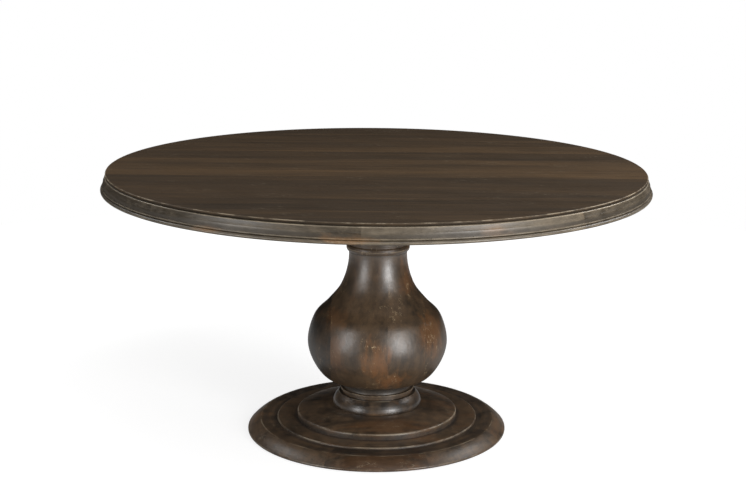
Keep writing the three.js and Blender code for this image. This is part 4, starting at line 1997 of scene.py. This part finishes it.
TOP_FINISH = WoodFinish(
    "top_stain",
    dark=(0.022, 0.017, 0.012),
    middle=(0.047, 0.031, 0.018),
    light=(0.094, 0.057, 0.028),
    warm=(0.120, 0.062, 0.027),
    roughness=0.53,
    gloss=0.12,
    warm_cover=0.22,
    # The pale ring is a painted highlight along the lip, partly worn stain; the dark ring is
    # painted shade in the groove under the lip.
    edges=(RingMark(0.7465, 0.7612, 0.0018, 0.8),),
    shaded_hollows=(RingMark(0.7475, 0.7560, 0.0030, 0.7),),
)
RIM_FINISH = WoodFinish(
    "rim_stain",
    dark=(0.035, 0.027, 0.018),
    middle=(0.098, 0.078, 0.054),
    light=(0.180, 0.144, 0.100),
    warm=(0.190, 0.105, 0.046),
    gloss=0.45,
    warm_cover=0.45,
    mottle=0.4,
    arris_breaks=(22.0, 0.4),
    # Pale rings: painted highlights along the arris, the fillet, the bead and its foot, partly worn
    # stain.
    edges=(
        RingMark(0.7485, 0.7520, 0.0022, 0.7),
        RingMark(0.7570, 0.7260, 0.0016, 0.5),
        RingMark(0.7570, 0.7235, 0.0012, 0.6),
        RingMark(0.7610, 0.7160, 0.0018, 0.4),
        RingMark(0.7580, 0.7115, 0.0014, 0.4),
    ),
    patches=(
        WarmPatch((-0.085, -0.752, 0.722), (0.070, 0.030, 0.010), 0.8),
        WarmPatch((-0.400, -0.640, 0.722), (0.060, 0.050, 0.010), 0.7),
        WarmPatch((0.270, -0.705, 0.735), (0.050, 0.030, 0.012), 0.6),
    ),
    # Dark rings: painted shade on the lower part of the moulding, in the quirk and in the groove
    # under the lip.
    shaded_hollows=(
        RingMark(0.7540, 0.7310, 0.0075, 0.85),
        RingMark(0.7535, 0.7210, 0.0025, 0.8),
        RingMark(0.7450, 0.7550, 0.0025, 0.8),
    ),
)
COLUMN_FINISH = WoodFinish(
    "column_stain",
    dark=(0.018, 0.0135, 0.009),
    middle=(0.057, 0.036, 0.020),
    light=(0.102, 0.062, 0.032),
    warm=(0.165, 0.074, 0.028),
    rubbed_and_highlight=(0.40, 0.30, 0.18),
    warm_cover=0.40,
    band_scale=(3.0, 13.0),
    scratches=0.85,
    mottle=0.7,
    dents=0.0003,
    roughness=0.40,
    gloss=0.66,
    polish=(0.38, 0.53),
    polish_weight=0.60,
    # Dark rings: painted shade in the cove at the column's foot and at the foot of the bead.
    shaded_hollows=(
        RingMark(0.0975, 0.1350, 0.0160, 1.0),
        RingMark(0.0835, 0.5240, 0.0030, 0.8),
    ),
    # Pale rings: painted highlights on the two arrises of the fillet and on the bead, partly worn
    # stain.
    edges=(
        RingMark(0.1051, 0.1250, 0.0022, 0.40),
        RingMark(0.1051, 0.1190, 0.0014, 0.4),
        RingMark(0.0896, 0.5356, 0.0020, 0.35),
    ),
    patches=(
        WarmPatch((0.006, -0.197, 0.250), (0.040, 0.07, 0.055), 0.85),
        WarmPatch((0.030, -0.172, 0.190), (0.050, 0.07, 0.028), 0.80),
        WarmPatch((-0.114, -0.160, 0.262), (0.024, 0.07, 0.055), 0.45),
        WarmPatch((-0.117, -0.120, 0.353), (0.035, 0.06, 0.030), 0.35),
        WarmPatch((0.150, -0.112, 0.310), (0.040, 0.08, 0.060), 0.6),
        WarmPatch((0.080, -0.045, 0.460), (0.022, 0.05, 0.060), 0.6),
    ),
)
BASE_FINISH = WoodFinish(
    "base_stain",
    middle=(0.062, 0.041, 0.025),
    light=(0.112, 0.070, 0.039),
    gloss=0.49,
    polish=(0.070, 0.088),
    polish_weight=0.65,
    mottle=1.3,
    arris_breaks=(13.0, 0.0),
    warm=(0.145, 0.068, 0.027),
    warm_cover=0.50,
    band_scale=(2.0, 15.0),
    scratches=0.4,
    # Pale rings: painted highlights along the disc edges, the ring's ridge and edge and the foot
    # ring's top, partly worn stain.
    edges=(
        RingMark(0.2285, 0.0553, 0.0040, 0.55),
        RingMark(0.2865, 0.0393, 0.0040, 0.50),
        RingMark(0.3340, 0.0340, 0.0022, 0.5),
        RingMark(0.3710, 0.0075, 0.0020, 0.35),
        RingMark(0.1101, 0.1110, 0.0020, 0.6),
    ),
    # Dark rings: painted shade round the top and the foot of the foot ring and on the treads at the
    # foot of each disc.
    shaded_hollows=(
        RingMark(0.1060, 0.1110, 0.0040, 0.9),
        RingMark(0.2310, 0.0420, 0.0120, 0.85),
        RingMark(0.2920, 0.0350, 0.0140, 0.6),
        RingMark(0.3200, 0.0340, 0.0140, 0.45),
        RingMark(0.1500, 0.0720, 0.0120, 0.4),
    ),
    patches=(
        WarmPatch((0.020, -0.350, 0.020), (0.170, 0.060, 0.030), 0.28),
        WarmPatch((0.040, -0.180, 0.064), (0.10, 0.05, 0.03), 0.4),
        WarmPatch((0.124, -0.200, 0.040), (0.05, 0.04, 0.02), 0.5),
    ),
)
UNDERSIDE_FINISH = WoodFinish(
    "underside_stain",
    dark=(0.045, 0.030, 0.018),
    middle=(0.11, 0.075, 0.045),
    light=(0.19, 0.135, 0.085),
    warm=(0.24, 0.14, 0.065),
    roughness=0.62,
    scratches=0.0,
)
STEEL_FINISH = PlainFinish(
    "zinc_plated_steel",
    stops=((0.3, (0.33, 0.33, 0.324)), (0.7, (0.55, 0.55, 0.54))),
    cloud=Cloud((160.0, 160.0, 160.0), 4.0),
    dulled=(0.3, 0.7, 0.44, 0.28),
    metallic=1.0,
    grain=Cloud((2500.0, 2500.0, 400.0), 2.0),
    grain_depth=0.00003,
)
NYLON_FINISH = PlainFinish(
    "black_nylon",
    stops=((0.4, (0.03, 0.03, 0.03)), (0.8, (0.048, 0.048, 0.048))),
    cloud=Cloud((900.0, 900.0, 900.0), 2.0),
    dulled=(0.2, 0.8, 0.5, 0.65),
    metallic=0.0,
    grain=Cloud((900.0, 900.0, 900.0), 2.0),
    grain_depth=0.00005,
)


def main() -> None:
    """Builds every sub-assembly in order."""
    logging.basicConfig(level=logging.INFO, format="%(name)s: %(message)s")
    TableTop().build(TOP_FINISH)
    RimMoulding().build(RIM_FINISH)
    Underframe().build(UNDERSIDE_FINISH, STEEL_FINISH)
    Column().build(COLUMN_FINISH)
    Foot().build(BASE_FINISH)
    TieRod().build(STEEL_FINISH)
    Glides().build(NYLON_FINISH)
    Studio().build()


if __name__ == "__main__":
    main()
